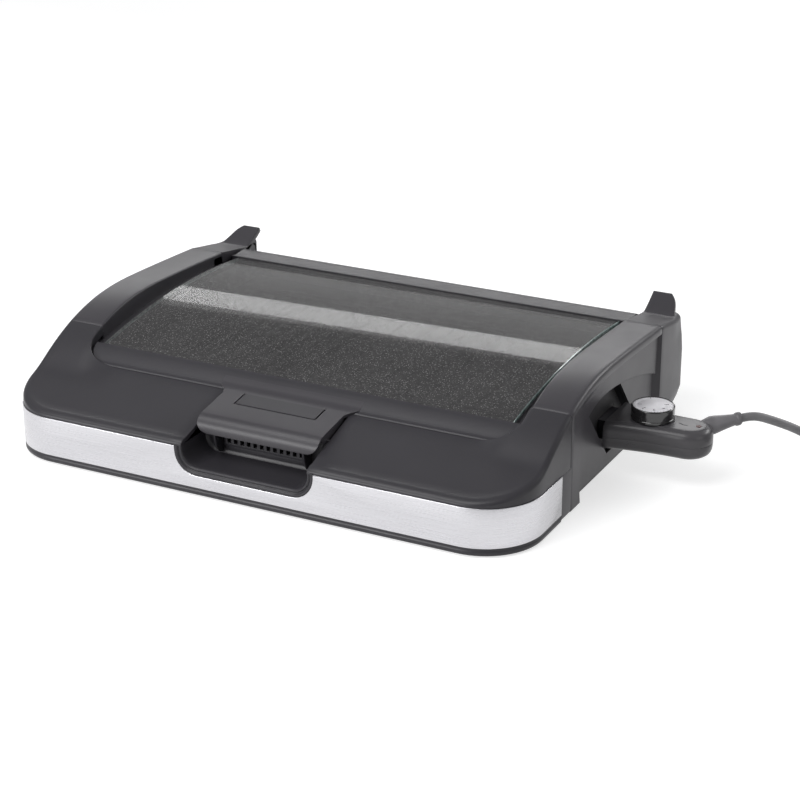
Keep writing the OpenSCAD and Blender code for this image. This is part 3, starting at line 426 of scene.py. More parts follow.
def prism(name, outline, run):
    """A flat outline of points, extruded by run."""
    piece = started(name, bpy.ops.mesh.primitive_circle_add, vertices=len(outline), fill_type="NGON")
    for vertex, point in zip(piece.data.vertices, outline):
        vertex.co = Vector(point) * MM
    with editing(piece):
        bpy.ops.mesh.select_all(action="SELECT")
        bpy.ops.mesh.extrude_region_move(TRANSFORM_OT_translate={"value": tuple(Vector(run) * MM)})
        bpy.ops.mesh.select_all(action="SELECT")
        bpy.ops.mesh.normals_make_consistent(inside=False)
    return piece


def plate(name, across, y, heights, deep):
    """An upright plate: its extent in X, front face, extent in Z and thickness."""
    (left, right), (low, high) = across, heights
    return prism(name, [(left, y, low), (right, y, low), (right, y, high), (left, y, high)], (0, deep, 0))


def rounded(piece, width, segments=3, angle=30, pick=None):
    """Rounds the edges sharper than angle, or of those the ones that pick chooses by their middle."""
    with editing(piece):
        mesh = bmesh.from_edit_mesh(piece.data)
        bpy.ops.mesh.select_mode(type="EDGE")
        bpy.ops.mesh.select_all(action="DESELECT")
        for edge in mesh.edges:
            sharp = len(edge.link_faces) == 2 and edge.calc_face_angle(0) > radians(angle)
            middle = (edge.verts[0].co + edge.verts[1].co) / 2 / MM
            edge.select_set(sharp and (pick is None or pick(middle)))
        bmesh.update_edit_mesh(piece.data)
        bpy.ops.mesh.bevel(
            offset=width * MM, segments=segments, profile=0.5, affect="EDGES", clamp_overlap=True,
        )
        bpy.ops.mesh.select_mode(type="VERT")
    return piece


def softened(node, width, segments=2):
    """A copy of a solid with its loose triangles joined and its edges rounded."""
    piece = linked(node + "_softened", frame["nodes"][node].data.copy())
    with editing(piece):
        bpy.ops.mesh.select_all(action="SELECT")
        bpy.ops.mesh.remove_doubles(threshold=0.01 * MM)
        bpy.ops.mesh.dissolve_limited(angle_limit=radians(0.6))
    modified(
        piece, "BEVEL", width=width * MM, segments=segments, limit_method="ANGLE",
        angle_limit=radians(30), miter_outer="MITER_ARC",
    )
    return piece


def joined(name, *pieces):
    alone(pieces[0])
    for piece in pieces:
        piece.select_set(True)
    bpy.ops.object.join()
    pieces[0].name = name
    return pieces[0]


def cut(piece, cutter):
    modified(piece, "BOOLEAN", object=cutter, operation="DIFFERENCE", solver="EXACT")
    bpy.data.objects.remove(cutter)
    return piece


def painted(piece, finish):
    piece.data.materials.clear()
    piece.data.materials.append(finish)


def done(piece, node, smooth=35, slot=None, finish=None):
    """Finishes a piece that belongs to a solid: shading, finish, body."""
    slot = slot or SLOT_OF[node]
    if piece.type == "MESH":
        alone(piece)
        bpy.ops.object.shade_smooth_by_angle(angle=radians(smooth))
    painted(piece, finish or FINISHES[slot])
    body = frame["nodes"][node]["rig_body"]
    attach(piece, body)
    return piece


def stands_for(piece, node, smooth=35, finish=None):
    """Finishes a piece that takes the place of a solid."""
    done(piece, node, smooth, finish=finish)
    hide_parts(node)
    return piece


def spread(low, high, steps):
    return [low + (high - low) * i / steps for i in range(steps + 1)]


def soft_step(x, low, high):
    t = min(max((x - low) / (high - low), 0), 1)
    return t * t * (3 - 2 * t)


def inwards(point, way, distance):
    """The first two coordinates of a point, moved along its way inwards."""
    return point[0] + way[0] * distance, point[1] + way[1] * distance


def part_way(start, end, share):
    """The first two coordinates of the point at a share of the way from start to end."""
    return start[0] + (end[0] - start[0]) * share, start[1] + (end[1] - start[1]) * share


def mirrored(stations):
    """The same stations on the other side, in the opposite order."""
    return [tuple((-x, y) for x, y in station) for station in reversed(stations)]


def on_side(rows, side):
    """Rows of points made for the right side (1), for either side."""
    return [[(side * x, y, z) for x, y, z in row] for row in rows]


# ---- sizes of the housing, in millimetres ----

HALF_W = 260
FRONT_Y = -206
BACK_Y = 196
BAND_TOP = 45
LIP_TOP = 51
LIP_RUN = 10
SLOPE_FRONT_Y = -196
SLOPE = 20 / 69
STRIP_FRONT_Y = -127
STRIP_FRONT_Z = 71
GLASS_FRONT_Y = -106
GLASS_BACK_Y = 145
GLASS_PEAK_Y = 55
GLASS_TOP = 100
GLASS_R = 785
GLASS_T = 4
GLASS_HALF = 211.5
POCKET_HALF = 222
STRIP_HALF = 219
ARM_FRONT_Y = -92
ARM_BACK_Y = 122
# Where the arm's cover ends and the rear post starts behind it
ARM_END_Y = 124.6
POST_FRONT_Y = 125
BAND_END_Y = -112
LEG_BACK_Y = -70
FRONT_R = 54
BACK_R = 14
SKIN_OUT = 257
CAP_BACK = 95.5
HORN_Y = 171
FOOT_H = 3


def crown(y):
    """Height of the arms' ridge."""
    if y < 0:
        return 109 - 39 * (-y / 140) ** 2.35
    return 109 - 5 * (y / ARM_BACK_Y) ** 1.3


def slope(y):
    return LIP_TOP + (y - SLOPE_FRONT_Y) * SLOPE


def glass_height(y):
    return GLASS_TOP - GLASS_R + sqrt(GLASS_R**2 - (y - GLASS_PEAK_Y) ** 2)


def strip_height(y):
    share = min(max((y - STRIP_FRONT_Y) / (GLASS_FRONT_Y - STRIP_FRONT_Y), 0), 1)
    return STRIP_FRONT_Z + (glass_height(GLASS_FRONT_Y) - STRIP_FRONT_Z) * (1 - (1 - share) ** 1.25)


def arch(y):
    """Height of the side arch's edge."""
    crown_y, run, rise, top, back = -8, 62, 34, 82, 56
    if y < crown_y:
        share = min((crown_y - y) / run, 1)
        return top - rise * (1 - sqrt(max(0, 1 - share**2)))
    return top - (top - back) * ((y - crown_y) / (ARM_BACK_Y - crown_y)) ** 1.8


# ---- front cover ----

NOTCH_HALF = 63.3
POCKET_R = 22
COVER_BACK_Y = STRIP_FRONT_Y - 0.8
# Where the cover starts to rise towards the arms
RISE_FROM = 184


def cover_height(x, y):
    gap = crown(y) - slope(y)
    rise = (gap + sqrt(gap * gap + 9)) / 2 if y > SLOPE_FRONT_Y else 0
    return slope(y) + rise * soft_step(abs(x), RISE_FROM, POCKET_HALF)


def cover_stations():
    """Outer point, way inwards and inner point, from the arm's seam round the corner to the recess."""
    seam_y = ARM_FRONT_Y - 1.1
    pocket_y = COVER_BACK_Y + POCKET_R
    corner = (HALF_W - FRONT_R, FRONT_Y + FRONT_R)
    pocket_corner = (POCKET_HALF - POCKET_R, pocket_y)
    stations = []
    for share in spread(0, 1, 9)[:-1]:
        outer = part_way((HALF_W, seam_y), (HALF_W, corner[1]), share)
        stations.append((outer, (-1, 0), (POCKET_HALF, seam_y + (pocket_y - seam_y) * share)))
    for turn in spread(0, pi / 2, 14):
        way = (-cos(turn), sin(turn))
        stations.append((inwards(corner, way, -FRONT_R), way, inwards(pocket_corner, way, -POCKET_R)))
    for share in spread(0, 1, 12)[1:]:
        outer = part_way((corner[0], FRONT_Y), (NOTCH_HALF + 1, FRONT_Y), share)
        inner = part_way((pocket_corner[0], COVER_BACK_Y), (NOTCH_HALF + 1, COVER_BACK_Y), share)
        stations.append((outer, (0, 1), inner))
    return stations


def cover_section(outer, way, inner, sink=0):
    """One section of the cover: up the side, over its rounded edge and in to the pocket, sunk by sink."""
    run = 5 + (LIP_RUN - 5) * abs(way[1])
    rise = 5.5
    edge = inwards(outer, way, run)
    top = cover_height(*edge)
    points = [(*inwards(outer, way, sink), BAND_TOP)]
    for turn in spread(0, pi / 2, 8):
        in_by = run * (1 - cos(turn)) + sink * cos(turn)
        height = max(top - rise + rise * sin(turn), BAND_TOP + 0.1) - sink * sin(turn)
        points.append((*inwards(outer, way, in_by), height))
    for share in spread(0, 1, 12)[1:]:
        x, y = part_way(edge, inner, share)
        points.append((x, y, cover_height(x, y) - sink))
    last = points[-1][2]
    for in_by, down in ((0.3, 0.15), (0.7, 0.6), (0.8, 1.4), (0.8, 9)):
        points.append((*inwards(inner, way, in_by), last - down))
    return points


# How far along and how deep the edge of a cover turns down at a seam
TURNED_DOWN = ((0.75, 5), (0.75, 0.9), (0.5, 0.3))


def make_front_cover():
    stations = cover_stations()
    outer, way, inner = stations[0]
    rows = [
        cover_section((outer[0], outer[1] + nearer), way, (inner[0], inner[1] + nearer), sink)
        for nearer, sink in TURNED_DOWN
    ]
    rows += [cover_section(*station) for station in stations]
    # The edge along the recess turns down
    outer, way, inner = stations[-1]
    for nearer, sink in ((0.7, 0.3), (1, 1), (1, 4)):
        rows.append(cover_section((outer[0] - nearer, outer[1]), way, (inner[0] - nearer, inner[1]), sink))
    wings = [walled("cover_wing", on_side(rows, side), (0, 0, 1), 2) for side in (1, -1)]
    # Strip of the cover behind the recess
    front = -165.7
    outline = [
        (-NOTCH_HALF, front, slope(front) - 4.2), (-NOTCH_HALF, COVER_BACK_Y, 66.6),
        (-NOTCH_HALF, COVER_BACK_Y, 59.5), (-NOTCH_HALF, front, slope(front) - 7),
    ]
    middle = rounded(prism("cover_middle", outline, (2 * NOTCH_HALF, 0, 0)), 0.8)
    stands_for(joined("front_cover", *wings, middle), "front_housing", 30)


# Section of the base's lower edge: how far in from the outline, and the height
SKIRT = (
    (0.8, 8.5), (-0.1, 8.45), (-0.15, 6.4), (-0.3, 5.8), (-0.65, 5.3), (-0.8, 4.7), (-0.8, 3.2),
    (-0.55, 2.2), (0.2, 1.5), (1.4, 1.2), (4.5, 1.2),
)


def make_skirt():
    """Rounded lower edge of the base under the steel band."""
    half = [((HALF_W, y), (-1, 0)) for y in (BAND_END_Y, -125, -140)]
    for turn in spread(0, pi / 2, 16):
        way = (-cos(turn), sin(turn))
        half.append((inwards((HALF_W - FRONT_R, FRONT_Y + FRONT_R), way, -FRONT_R), way))
    half += [((x, FRONT_Y), (0, 1)) for x in (140, 70)]
    stations = half + [((0, FRONT_Y), (0, 1))] + mirrored(half)
    rows = [[(*inwards(point, way, in_by), z) for in_by, z in SKIRT] for point, way in stations]
    done(walled("base_skirt", rows, (0, -1, 0), 1.2), "base_tray", 40)


# ---- grip recess ----

RECESS_HALF = 70
RECESS_LOW = 20
RECESS_R = 22
RECESS_BACK = -166
RAIL_LOW = 31
SLOTS = 12
SLOT_PITCH = 6.72


def recess_stations():
    """Points of the recess's outline and the way inwards, from the left end round to the right end."""
    corner = (RECESS_R - RECESS_HALF, RECESS_LOW + RECESS_R)
    half = [((-RECESS_HALF, z), (1, 0)) for z in (BAND_TOP + 1, 44)]
    for turn in spread(0, pi / 2, 12):
        way = (cos(turn), sin(turn))
        half.append((inwards(corner, way, -RECESS_R), way))
    half += [((x, RECESS_LOW), (0, 1)) for x in spread(corner[0], 0, 3)[1:-1]]
    return half + [((0, RECESS_LOW), (0, 1))] + mirrored(half)


# Section of the rounded border: how far in from the outline, and its place along Y
RECESS_BORDER = (
    (0, -203), (0.05, -206), (0.4, -206.6), (1.2, -206.95), (2.2, -206.8), (2.9, -206.1), (3.3, -205.3),
    (3.7, -205.1), (4.2, -205.5), (4.9, -205.9), (5.8, -205.8), (6.5, -205.1), (6.9, -203.4), (7, -199),
    (7.05, -190), (7.1, -178), (7.3, -171), (8.2, -167.6), (10, -166.3), (12, -166),
)


def make_recess():
    """The recess: rounded border, back with the comb's opening, and a cheek on each side of it."""
    rows = [
        [(x + way[0] * in_by, y, z + way[1] * in_by) for in_by, y in RECESS_BORDER]
        for (x, z), way in recess_stations()
    ]
    border = walled("recess_border", rows, (0, 0, 1), 1.6)
    back = plate("recess_back", (-64, 64), RECESS_BACK, (26, 60), 2.5)
    cut(back, plate("comb_opening", (-42, 42), RECESS_BACK - 2, (RAIL_LOW, 48.4), 8))
    cheeks = []
    for side in (-1, 1):
        cheek = [(side * 44, RECESS_BACK, 53)]
        cheek += [(side * 44, RECESS_BACK - 14 * sin(t), 53 - 24 * cos(t)) for t in spread(0, pi / 2, 10)]
        cheeks.append(rounded(prism("comb_cheek", cheek, (side * 2.2, 0, 0)), 0.6))
    stands_for(joined("grip_border", border, back, *cheeks), "grip_recess", 32)


def make_comb():
    """Vent comb over a plain rail at the back of the recess."""
    across = (-41.9, 41.9)
    comb = plate("comb", across, RECESS_BACK - 2, (36.4, 48.3), 4.4)
    slots = []
    for place in range(SLOTS):
        middle = (place - (SLOTS - 1) / 2) * SLOT_PITCH
        slots.append(plate("slot", (middle - 1.8, middle + 1.8), RECESS_BACK - 6, (39, 46.9), 12))
    cut(comb, joined("slots", *slots))
    rounded(comb, 0.3, 2)
    rail = rounded(plate("rail", across, RECESS_BACK - 0.4, (RAIL_LOW, 37), 2.8), 0.4, 2)
    stands_for(joined("comb_face", comb, rail), "vent_comb", 32)


# ---- side arms ----


def arm_section(y, sink):
    """Section of an arm, from its inner wall over the top and the rounded ridge down its side."""
    top = crown(y) - sink
    inner_low = glass_height(y) - GLASS_T - 1
    points = [(POCKET_HALF, inner_low), (POCKET_HALF, top - 2.2)]
    points += [(POCKET_HALF + 1.8 * (1 - cos(t)), top - 1.8 + 1.8 * sin(t)) for t in spread(0, pi / 2, 5)]
    points += [(x, top + 0.25 * sin((x - 224) / 30 * pi)) for x in (229, 235, 241, 247, 252)]
    points += [(HALF_W - sink - 5 + 5 * sin(t), top - 5 + 5 * cos(t)) for t in spread(0, pi / 2, 7)]
    return points


def arm_side(y, top, sink):
    """Rest of the section under the ridge."""
    if y <= LEG_BACK_Y:
        drops = (top - 7, top - 8.2, top - 8.6, top - 9.2, 30, 12)
        return [(HALF_W - sink, z) for z in drops] + [(HALF_W + 0.6 - sink, FOOT_H)]
    low = arch(y)
    return [
        (HALF_W - sink, top - 7.6), (HALF_W - 0.4 - sink, top - 8.5), (HALF_W - 1.4 - sink, top - 9),
        (SKIN_OUT - sink, top - 9.2), (SKIN_OUT - sink, low + (top - 9.2 - low) * 0.5),
        (SKIN_OUT - sink, low + 0.6), (SKIN_OUT - 0.5 - sink, low),
    ]


def make_arm(node, side):
    rows = []
    # Each station along the arm and how deep its section lies: both ends turn down
    stations = [(ARM_FRONT_Y, 4), (ARM_FRONT_Y, 0.9), (ARM_FRONT_Y + 0.25, 0.3), (ARM_FRONT_Y + 0.8, 0)]
    level = [-86, -80, -75, LEG_BACK_Y, LEG_BACK_Y + 0.9, -68, -64, -60, -54, -48, -40, -32, -24]
    stations += [(y, 0) for y in level + spread(-16, ARM_END_Y - 0.8, 23)]
    stations += [(ARM_END_Y - 0.25, 0.3), (ARM_END_Y, 0.9), (ARM_END_Y, 4)]
    for y, sink in stations:
        rows.append([(side * x, y, z) for x, z in arm_section(y, sink) + arm_side(y, crown(y), sink)])
    arm = walled("arm_top", rows, (0, 0, 1), 2.2)
    leg_line = [
        (BAND_END_Y + 0.3, FOOT_H), (BAND_END_Y + 0.3, BAND_TOP - 0.3), (ARM_FRONT_Y + 1, BAND_TOP - 0.3),
        (ARM_FRONT_Y + 1, FOOT_H),
    ]
    leg = prism("leg", [(side * (HALF_W - 2.5), y, z) for y, z in leg_line], (side * 2.9, 0, 0))
    rounded(leg, 0.7, pick=lambda middle: middle.y < ARM_FRONT_Y)
    # Ledge under the glass, lower in front of it
    ledge = []
    across = ((204, 0), (POCKET_HALF + 2, 0), (POCKET_HALF + 2, 2), (204, 2))
    for y in [GLASS_FRONT_Y - 5, GLASS_FRONT_Y + 1] + spread(GLASS_FRONT_Y + 4, ARM_BACK_Y, 16):
        top = glass_height(y) - GLASS_T - (1 if y > GLASS_FRONT_Y + 2 else 3.2)
        ledge.append([(side * x, y, top - down) for x, down in across])
    rim = skin("ledge", ledge, closed=True, ends=True)
    stands_for(joined(node + "_cover", arm, leg, rim), node, 32)


def well_corners(x, grow=0):
    """Corners of the slanted opening in the right side panel, grown all round by grow."""
    front, back, low, high = -47, 32, 19, 80
    lean = 53
    slant = hypot(lean, high - low) / (high - low)
    corners = []
    for y, z, side, end in (
        (front, high, -1, 1), (back, high, 1, 1), (back + lean, low, 1, -1), (front + lean, low, -1, -1),
    ):
        corners.append((x, y + grow * (side * slant - end * lean / (high - low)), z + end * grow))
    return corners


def make_socket_well():
    """Well behind the opening in the right side panel; the socket comes through its back; its darker finish
    is painted shade for the deep cavity.
    """
    well = prism("socket_well", well_corners(243.6, 1.5), (8.3, 0, 0))
    cut(well, prism("hollow", well_corners(245.2), (20, 0, 0)))
    socket = [(240, y, z) for y, z in ((4.2, 29.2), (43.8, 29.2), (43.8, 52.8), (4.2, 52.8))]
    cut(well, prism("socket_hole", socket, (8, 0, 0)))
    done(well, "right_side_panel", 30, finish=WELL_PAINTED_SHADE)


def cap_height(y):
    """Height of a post's top, which falls from the arm to the foot of the horn."""
    share = min((y - ARM_BACK_Y) / (HORN_Y - ARM_BACK_Y), 1)
    return crown(ARM_BACK_Y) + (CAP_BACK - crown(ARM_BACK_Y)) * share


def post_stations():
    """Outer point, way inwards, inner point and depth, from the arm round the rear corner."""
    # The front edge slants in behind the arm
    stations = [
        ((HALF_W - in_by, POST_FRONT_Y + run), (-1, 0), (POCKET_HALF, POST_FRONT_Y + run), sink)
        for in_by, run, sink in ((14, -16, 6), (8, -12, 5), (1, -0.6, 4), (0.4, 0, 0.9), (0.1, 0.3, 0.3))
    ]
    stations += [
        ((HALF_W, y), (-1, 0), (POCKET_HALF, y), 0) for y in spread(POST_FRONT_Y + 0.8, BACK_Y - BACK_R, 8)
    ]
    corner = (HALF_W - BACK_R, BACK_Y - BACK_R)
    for turn in spread(0, pi / 2, 8)[1:]:
        way = (-cos(turn), -sin(turn))
        inner = (POCKET_HALF, corner[1] + (BACK_R - 3) * turn / (pi / 2))
        stations.append((inwards(corner, way, -BACK_R), way, inner, 0))
    across = spread(corner[0], POCKET_HALF, 4)[1:]
    return stations + [((x, BACK_Y), (0, -1), (POCKET_HALF, BACK_Y - 2), 0) for x in across]


def post_section(outer, way, inner, sink):
    """One section of a post, from its foot up its side and over to the inner edge."""
    top = cap_height(min(outer[1], inner[1])) - sink
    in_low = 7 * soft_step(outer[1], 150, 185)
    # The corner leans inwards near its top
    lean = 3 * soft_step(outer[1], 160, 190)
    points = [(*inwards(outer, way, in_by), z) for in_by, z in (
        (in_low, FOOT_H), (in_low * 0.45, 12), (0, 23), (0, 60), (lean * 0.35, 74), (lean * 0.7, 82),
    )]
    for turn in spread(0, pi / 2, 7):
        points.append((*inwards(outer, way, lean + 5 * (1 - cos(turn))), top - 5 + 5 * sin(turn)))
    edge = points[-1]
    points += [(*part_way(edge, inner, share), top) for share in (0.3, 0.6, 0.9, 1)]
    return points + [(*inner, top - 1.5), (*inner, 84)]


def horn_rows():
    """Front face of a horn, from the cap up to its rounded tip."""
    rows = []
    for share in spread(0, 1, 10):
        y = HORN_Y + 29.8 * share
        z = CAP_BACK - 1 + 14.8 * share**1.3
        wide = 33 - 10 * share
        corner = 4 * max(0, (share - 0.7) / 0.3) ** 2
        rows.append([(x, y, z) for x in spread(POCKET_HALF, POCKET_HALF + wide - corner, 8)])
    return rows


def make_rear_post(node, side):
    rows = on_side([post_section(*station) for station in post_stations()], side)
    post = walled("post", rows, (side, 0.3, 0), 2.2)
    horn = walled("horn", on_side(horn_rows(), side), (0, -1, 1), 5.5)
    rounded(horn, 0.9, 3, 50)
    stands_for(joined(node + "_cover", post, horn), node, 32)


# ---- lid ----


def strip_stations():
    """Outline of the lid's front strip from its left end round to its right end."""
    corner = 19
    side_y = STRIP_FRONT_Y + corner
    side = STRIP_HALF - corner
    half = [((-STRIP_HALF, GLASS_FRONT_Y), (1, 0), (-GLASS_HALF, GLASS_FRONT_Y))]
    for turn in spread(0, pi / 2, 12):
        way = (cos(turn), sin(turn))
        inner = ((GLASS_HALF - side) * turn / (pi / 2) - GLASS_HALF, GLASS_FRONT_Y)
        half.append((inwards((-side, side_y), way, -corner), way, inner))
    half += [((x, STRIP_FRONT_Y), (0, 1), (x, GLASS_FRONT_Y)) for x in spread(-side, 0, 20)[1:-1]]
    return half + [((0, STRIP_FRONT_Y), (0, 1), (0, GLASS_FRONT_Y))] + mirrored(half)


def strip_section(outer, way, inner):
    """One section of the strip: up its rounded edge and in to the glass."""
    run = 1.6
    edge = inwards(outer, way, run)
    top = strip_height(edge[1]) + 0.3
    points = [(*outer, top - 6.5), (*outer, top - 3)]
    for turn in spread(0, pi / 2, 6):
        points.append((*inwards(outer, way, run * (1 - cos(turn))), top - run * (1 - sin(turn))))
    for share in spread(0, 1, 8)[1:]:
        x, y = part_way(edge, inner, share)
        points.append((x, y, max(strip_height(y), top - 0.3)))
    return points


def make_front_strip():
    """The lid's front strip with the ledge that carries the glass."""
    rows = [strip_section(*station) for station in strip_stations()]
    top = walled("strip_top", rows, (0, 0, 1), 1.8)
    front, back = GLASS_FRONT_Y - 1, GLASS_FRONT_Y + 12
    high_front, high_back = glass_height(GLASS_FRONT_Y), glass_height(back)
    section = (
        (front, high_front - 4.4), (back, high_back - 4.2), (back, high_back - 6), (front, high_front - 6.4),
    )
    lap = [[(x, y, z) for y, z in section] for x in spread(2 - GLASS_HALF, GLASS_HALF - 2, 2)]
    ledge = skin("strip_ledge", lap, closed=True, ends=True)
    stands_for(joined("lid_front_edge", top, ledge), "lid_front_strip", 32)


# Section of the lid's rear strip over the glass: place along Y and height above the glass
REAR_LAP = (
    (139.6, -4.1), (139.6, 0.05), (139.4, 0.8), (139.9, 1.3), (141.8, 1.35), (142.5, 0.9), (145, 0.8),
)
# The rest of it, round the hinge: place along Y and height
REAR_BARREL = (
    (150, 95.9), (157, 96.4), (163, 96.3), (167, 95.4), (170.2, 93.6), (172.2, 90.8), (172.6, 88),
    (171.8, 84.8), (169.4, 82.5), (166, 81.6), (162, 82.9), (159, 85.6), (150, 89.4), (141, 90.4),
    (133, 91.2), (132.8, 92.8),
)


def make_rear_strip():
    section = [(y, glass_height(y) + over) for y, over in REAR_LAP] + list(REAR_BARREL)
    rows = [[(x, y, z) for y, z in section] for x in spread(-STRIP_HALF, STRIP_HALF, 12)]
    stands_for(skin("lid_rear_edge", rows, closed=True, ends=True), "lid_rear_strip", 32)


HANDLE_HALF = 61.5
NOSE_Y = -170
NOSE_Z = 52.5
NOSE_R = 14
# Where the handle's flat top starts behind, and where it runs into the rounded lip
FLAT_BACK = (-124, 73.8)
LIP_TURN = radians(98.8)
FLAT_FRONT = (NOSE_Y + NOSE_R * cos(LIP_TURN), NOSE_Z + NOSE_R * sin(LIP_TURN))
# Where the lip ends, in degrees; run of its rounded corners; where the sides start to flare
LIP_END = 184
CORNER_RUN = 12
FLARE_Y = -138


def handle_top(y):
    """Height of the handle's flat top."""
    rise = (FLAT_BACK[1] - FLAT_FRONT[1]) / (FLAT_BACK[0] - FLAT_FRONT[0])
    return FLAT_BACK[1] + (y - FLAT_BACK[0]) * rise


def handle_line(short):
    """Line over the handle's top, from the strip over the rounded lip, ending short degrees early."""
    start = ((-107, -1.5), (-111, -0.4), (-115, 0.03), (-119.5, 0.15))
    line = [(y, strip_height(y) + over) for y, over in start]
    line += [(y, handle_top(y)) for y in spread(FLAT_BACK[0], FLAT_FRONT[0], 8)[:-1]]
    turns = spread(LIP_TURN, radians(LIP_END - short), 14)
    return line + [(NOSE_Y + NOSE_R * cos(turn), NOSE_Z + NOSE_R * sin(turn)) for turn in turns]


# The engraved groove round the inlay
GROOVE_HALF = 42
GROOVE_FRONT = -151
GROOVE_BACK = -132
GROOVE_WIDE = 1.6
GROOVE_DEEP = 1.1


def make_handle():
    edge = HANDLE_HALF
    half_across = [12, 24, 36, edge - 15]
    half_across += [edge - CORNER_RUN + CORNER_RUN * sin(turn) for turn in spread(0, pi / 2, 9)]
    rows = []
    for x in [-x for x in reversed(half_across)] + [0] + half_across:
        reach = max(0, abs(x) - edge + CORNER_RUN) / CORNER_RUN
        short = 46 * (1 - sqrt(max(0, 1 - reach**2)))
        row = []
        for y, z in handle_line(short):
            # The sides run out into the strip in a fillet
            flare = min(7 * (max(0, y - FLARE_Y) / 12) ** 2, 10) if abs(x) > 40 else 0
            row.append((x + flare * x / edge, y, z))
        rows.append(row)
    top = walled("handle_top", rows, (0, -0.3, 1), 2.8)
    rounded(top, 0.6, 2, 60)
    half, front, back = GROOVE_HALF, GROOVE_FRONT, GROOVE_BACK
    inside, inner_front = half - GROOVE_WIDE, front + GROOVE_WIDE
    outline = [
        (-half, back), (-half, front), (half, front), (half, back),
        (inside, back), (inside, inner_front), (-inside, inner_front), (-inside, back),
    ]
    cut(top, prism("groove", [(x, y, handle_top(y) - GROOVE_DEEP) for x, y in outline], (0, 0, 4)))
    # Side walls of the handle, down into the gap beside the cover
    places = spread(-173, -134, 10)
    flanks = []
    for side in (-1, 1):
        line = [(y, handle_top(y) - 1.6) for y in places]
        line += [(y, min(slope(y) - 2.6, handle_top(y) - 2)) for y in reversed(places)]
        flank = prism("handle_flank", [(side * (edge - 2.1), y, z) for y, z in line], (side * 1.8, 0, 0))
        flanks.append(rounded(flank, 0.4, 2))
    stands_for(joined("handle_cover", top, *flanks), "lid_handle", 35)


def make_inlay():
    """Panel inside the groove, just over the handle's top."""
    inside = GROOVE_HALF - GROOVE_WIDE
    places = spread(GROOVE_FRONT + GROOVE_WIDE, GROOVE_BACK, 4)
    rows = [[(x, y, handle_top(y) + 0.04) for y in places] for x in spread(-inside, inside, 6)]
    stands_for(walled("inlay", rows, (0, 0, 1), 1.2), "handle_inlay")


def make_glass():
    """Bent sheet with ground edges."""
    half, ground = GLASS_HALF, 0.7
    rows = []
    for y in spread(GLASS_FRONT_Y, GLASS_BACK_Y, 48):
        low = GLASS_TOP - GLASS_R + sqrt((GLASS_R - GLASS_T) ** 2 - (y - GLASS_PEAK_Y) ** 2)
        high = glass_height(y)
        rows.append([(x, y, z) for x, z in (
            (ground - half, low), (-half, low + ground), (-half, high - ground), (ground - half, high),
            (-100, high), (0, high), (100, high),
            (half - ground, high), (half, high - ground), (half, low + ground), (half - ground, low),
            (100, low), (0, low), (-100, low),
        )])
    glass = stands_for(skin("lid_glass_sheet", rows, closed=True, ends=True), "glass_panel", 30)
    glass.data.materials.append(GLASS_EDGE)
    for face in glass.data.polygons:
        if abs(face.normal.x) > 0.5 or abs(face.normal.y) > 0.8:
            face.material_index = 1


# ---- thermostat ----

PROBE_Y = 24
SIDE_X = 255
ROUND_X = 325
PROBE_R = 22
FOOT_HALF = 31


def probe_outline(inset, z):
    """Plan of the thermostat's housing: a broad foot at the grill, drawn-in sides and a round end."""
    radius = PROBE_R - inset
    # Side from the foot to the round end: flared where it meets the grill
    side = [
        (SIDE_X + (ROUND_X - SIDE_X) * share, radius + (FOOT_HALF - PROBE_R) * (1 - share) ** 2.2)
        for share in spread(0, 1, 12)[:-1]
    ]
    points = [(x, PROBE_Y - half, z) for x, half in side]
    points += [(ROUND_X + radius * sin(t), PROBE_Y - radius * cos(t), z) for t in spread(0, pi, 26)]
    return points + [(x, PROBE_Y + half, z) for x, half in reversed(side)]


# Height and inset of the levels of the two shells, up and down from their seam
UPPER_LEVELS = (
    (40, 0), (44, 0), (47, 0.25), (49.2, 0.9), (51, 2), (52.3, 3.5), (53.2, 5.3), (53.45, 6.2),
    (53.5, 6.5), (53.85, 6.7), (54, 7.2), (54.05, 10), (54.1, 13),
)
LOWER_LEVELS = (
    (39.85, 0), (36, 0.1), (33.2, 0.5), (31, 1.3), (29.2, 2.6), (27.8, 4.6), (27.1, 7), (27, 10),
)


def make_thermostat():
    """The two shells, the pilot lens and the printed pointer beside the dial."""
    for part, levels in (("upper", UPPER_LEVELS), ("lower", LOWER_LEVELS)):
        node = f"thermostat_{part}_shell"
        rows = [probe_outline(inset, z) for z, inset in levels]
        shell = skin(node + "_cover", rows, closed=True, ends=True)
        rounded(shell, 0.35, 2, 60)
        stands_for(shell, node, 40, PROBE_PLASTIC)
    stands_for(softened("pilot_lens", 0.3), "pilot_lens")
    strokes = [
        prism("pointer", [(x, y, 54.08) for x, y in line], (0, 0, 0.12)) for line in (
            [(315.2, 23.6), (316.4, 23.8), (320.4, 21.6), (319.6, 20.7)],
            [(319.6, 20.7), (320.4, 21.6), (324.6, 21.6), (324.6, 20.7)],
        )
    ]
    done(joined("dial_pointer", *strokes), "thermostat_upper_shell", finish=DIAL_INK)


DIAL = Vector((290.5, 24, 54.4))
# Radius and height of the dial's profiles
KNOB_PROFILE = (
    (3.2, 0), (19.2, 0), (19.7, 0.5), (19.75, 1.2), (19.75, 2.2), (19.45, 2.5), (19.45, 3.0),
    (19.75, 3.3), (19.75, 11.4), (19.6, 12.1), (19.1, 12.6), (18.7, 12.8), (18.35, 12.7),
    (18.25, 12.3), (18.25, 11.7), (3.2, 11.7),
)
DISC_PROFILE = (
    (0, 11.75), (0, 12.3), (14.2, 12.3), (14.5, 12.15), (14.8, 12.15), (15.1, 12.3), (17.7, 12.3),
    (18.1, 12.1), (18.15, 11.75),
)
# In degrees: the off mark, the number 1, the way to the next number and to the next line
OFF_MARK = 120
FIRST_NUMBER = 198
NUMBER_STEP = 48
TICK_STEP = 9.6


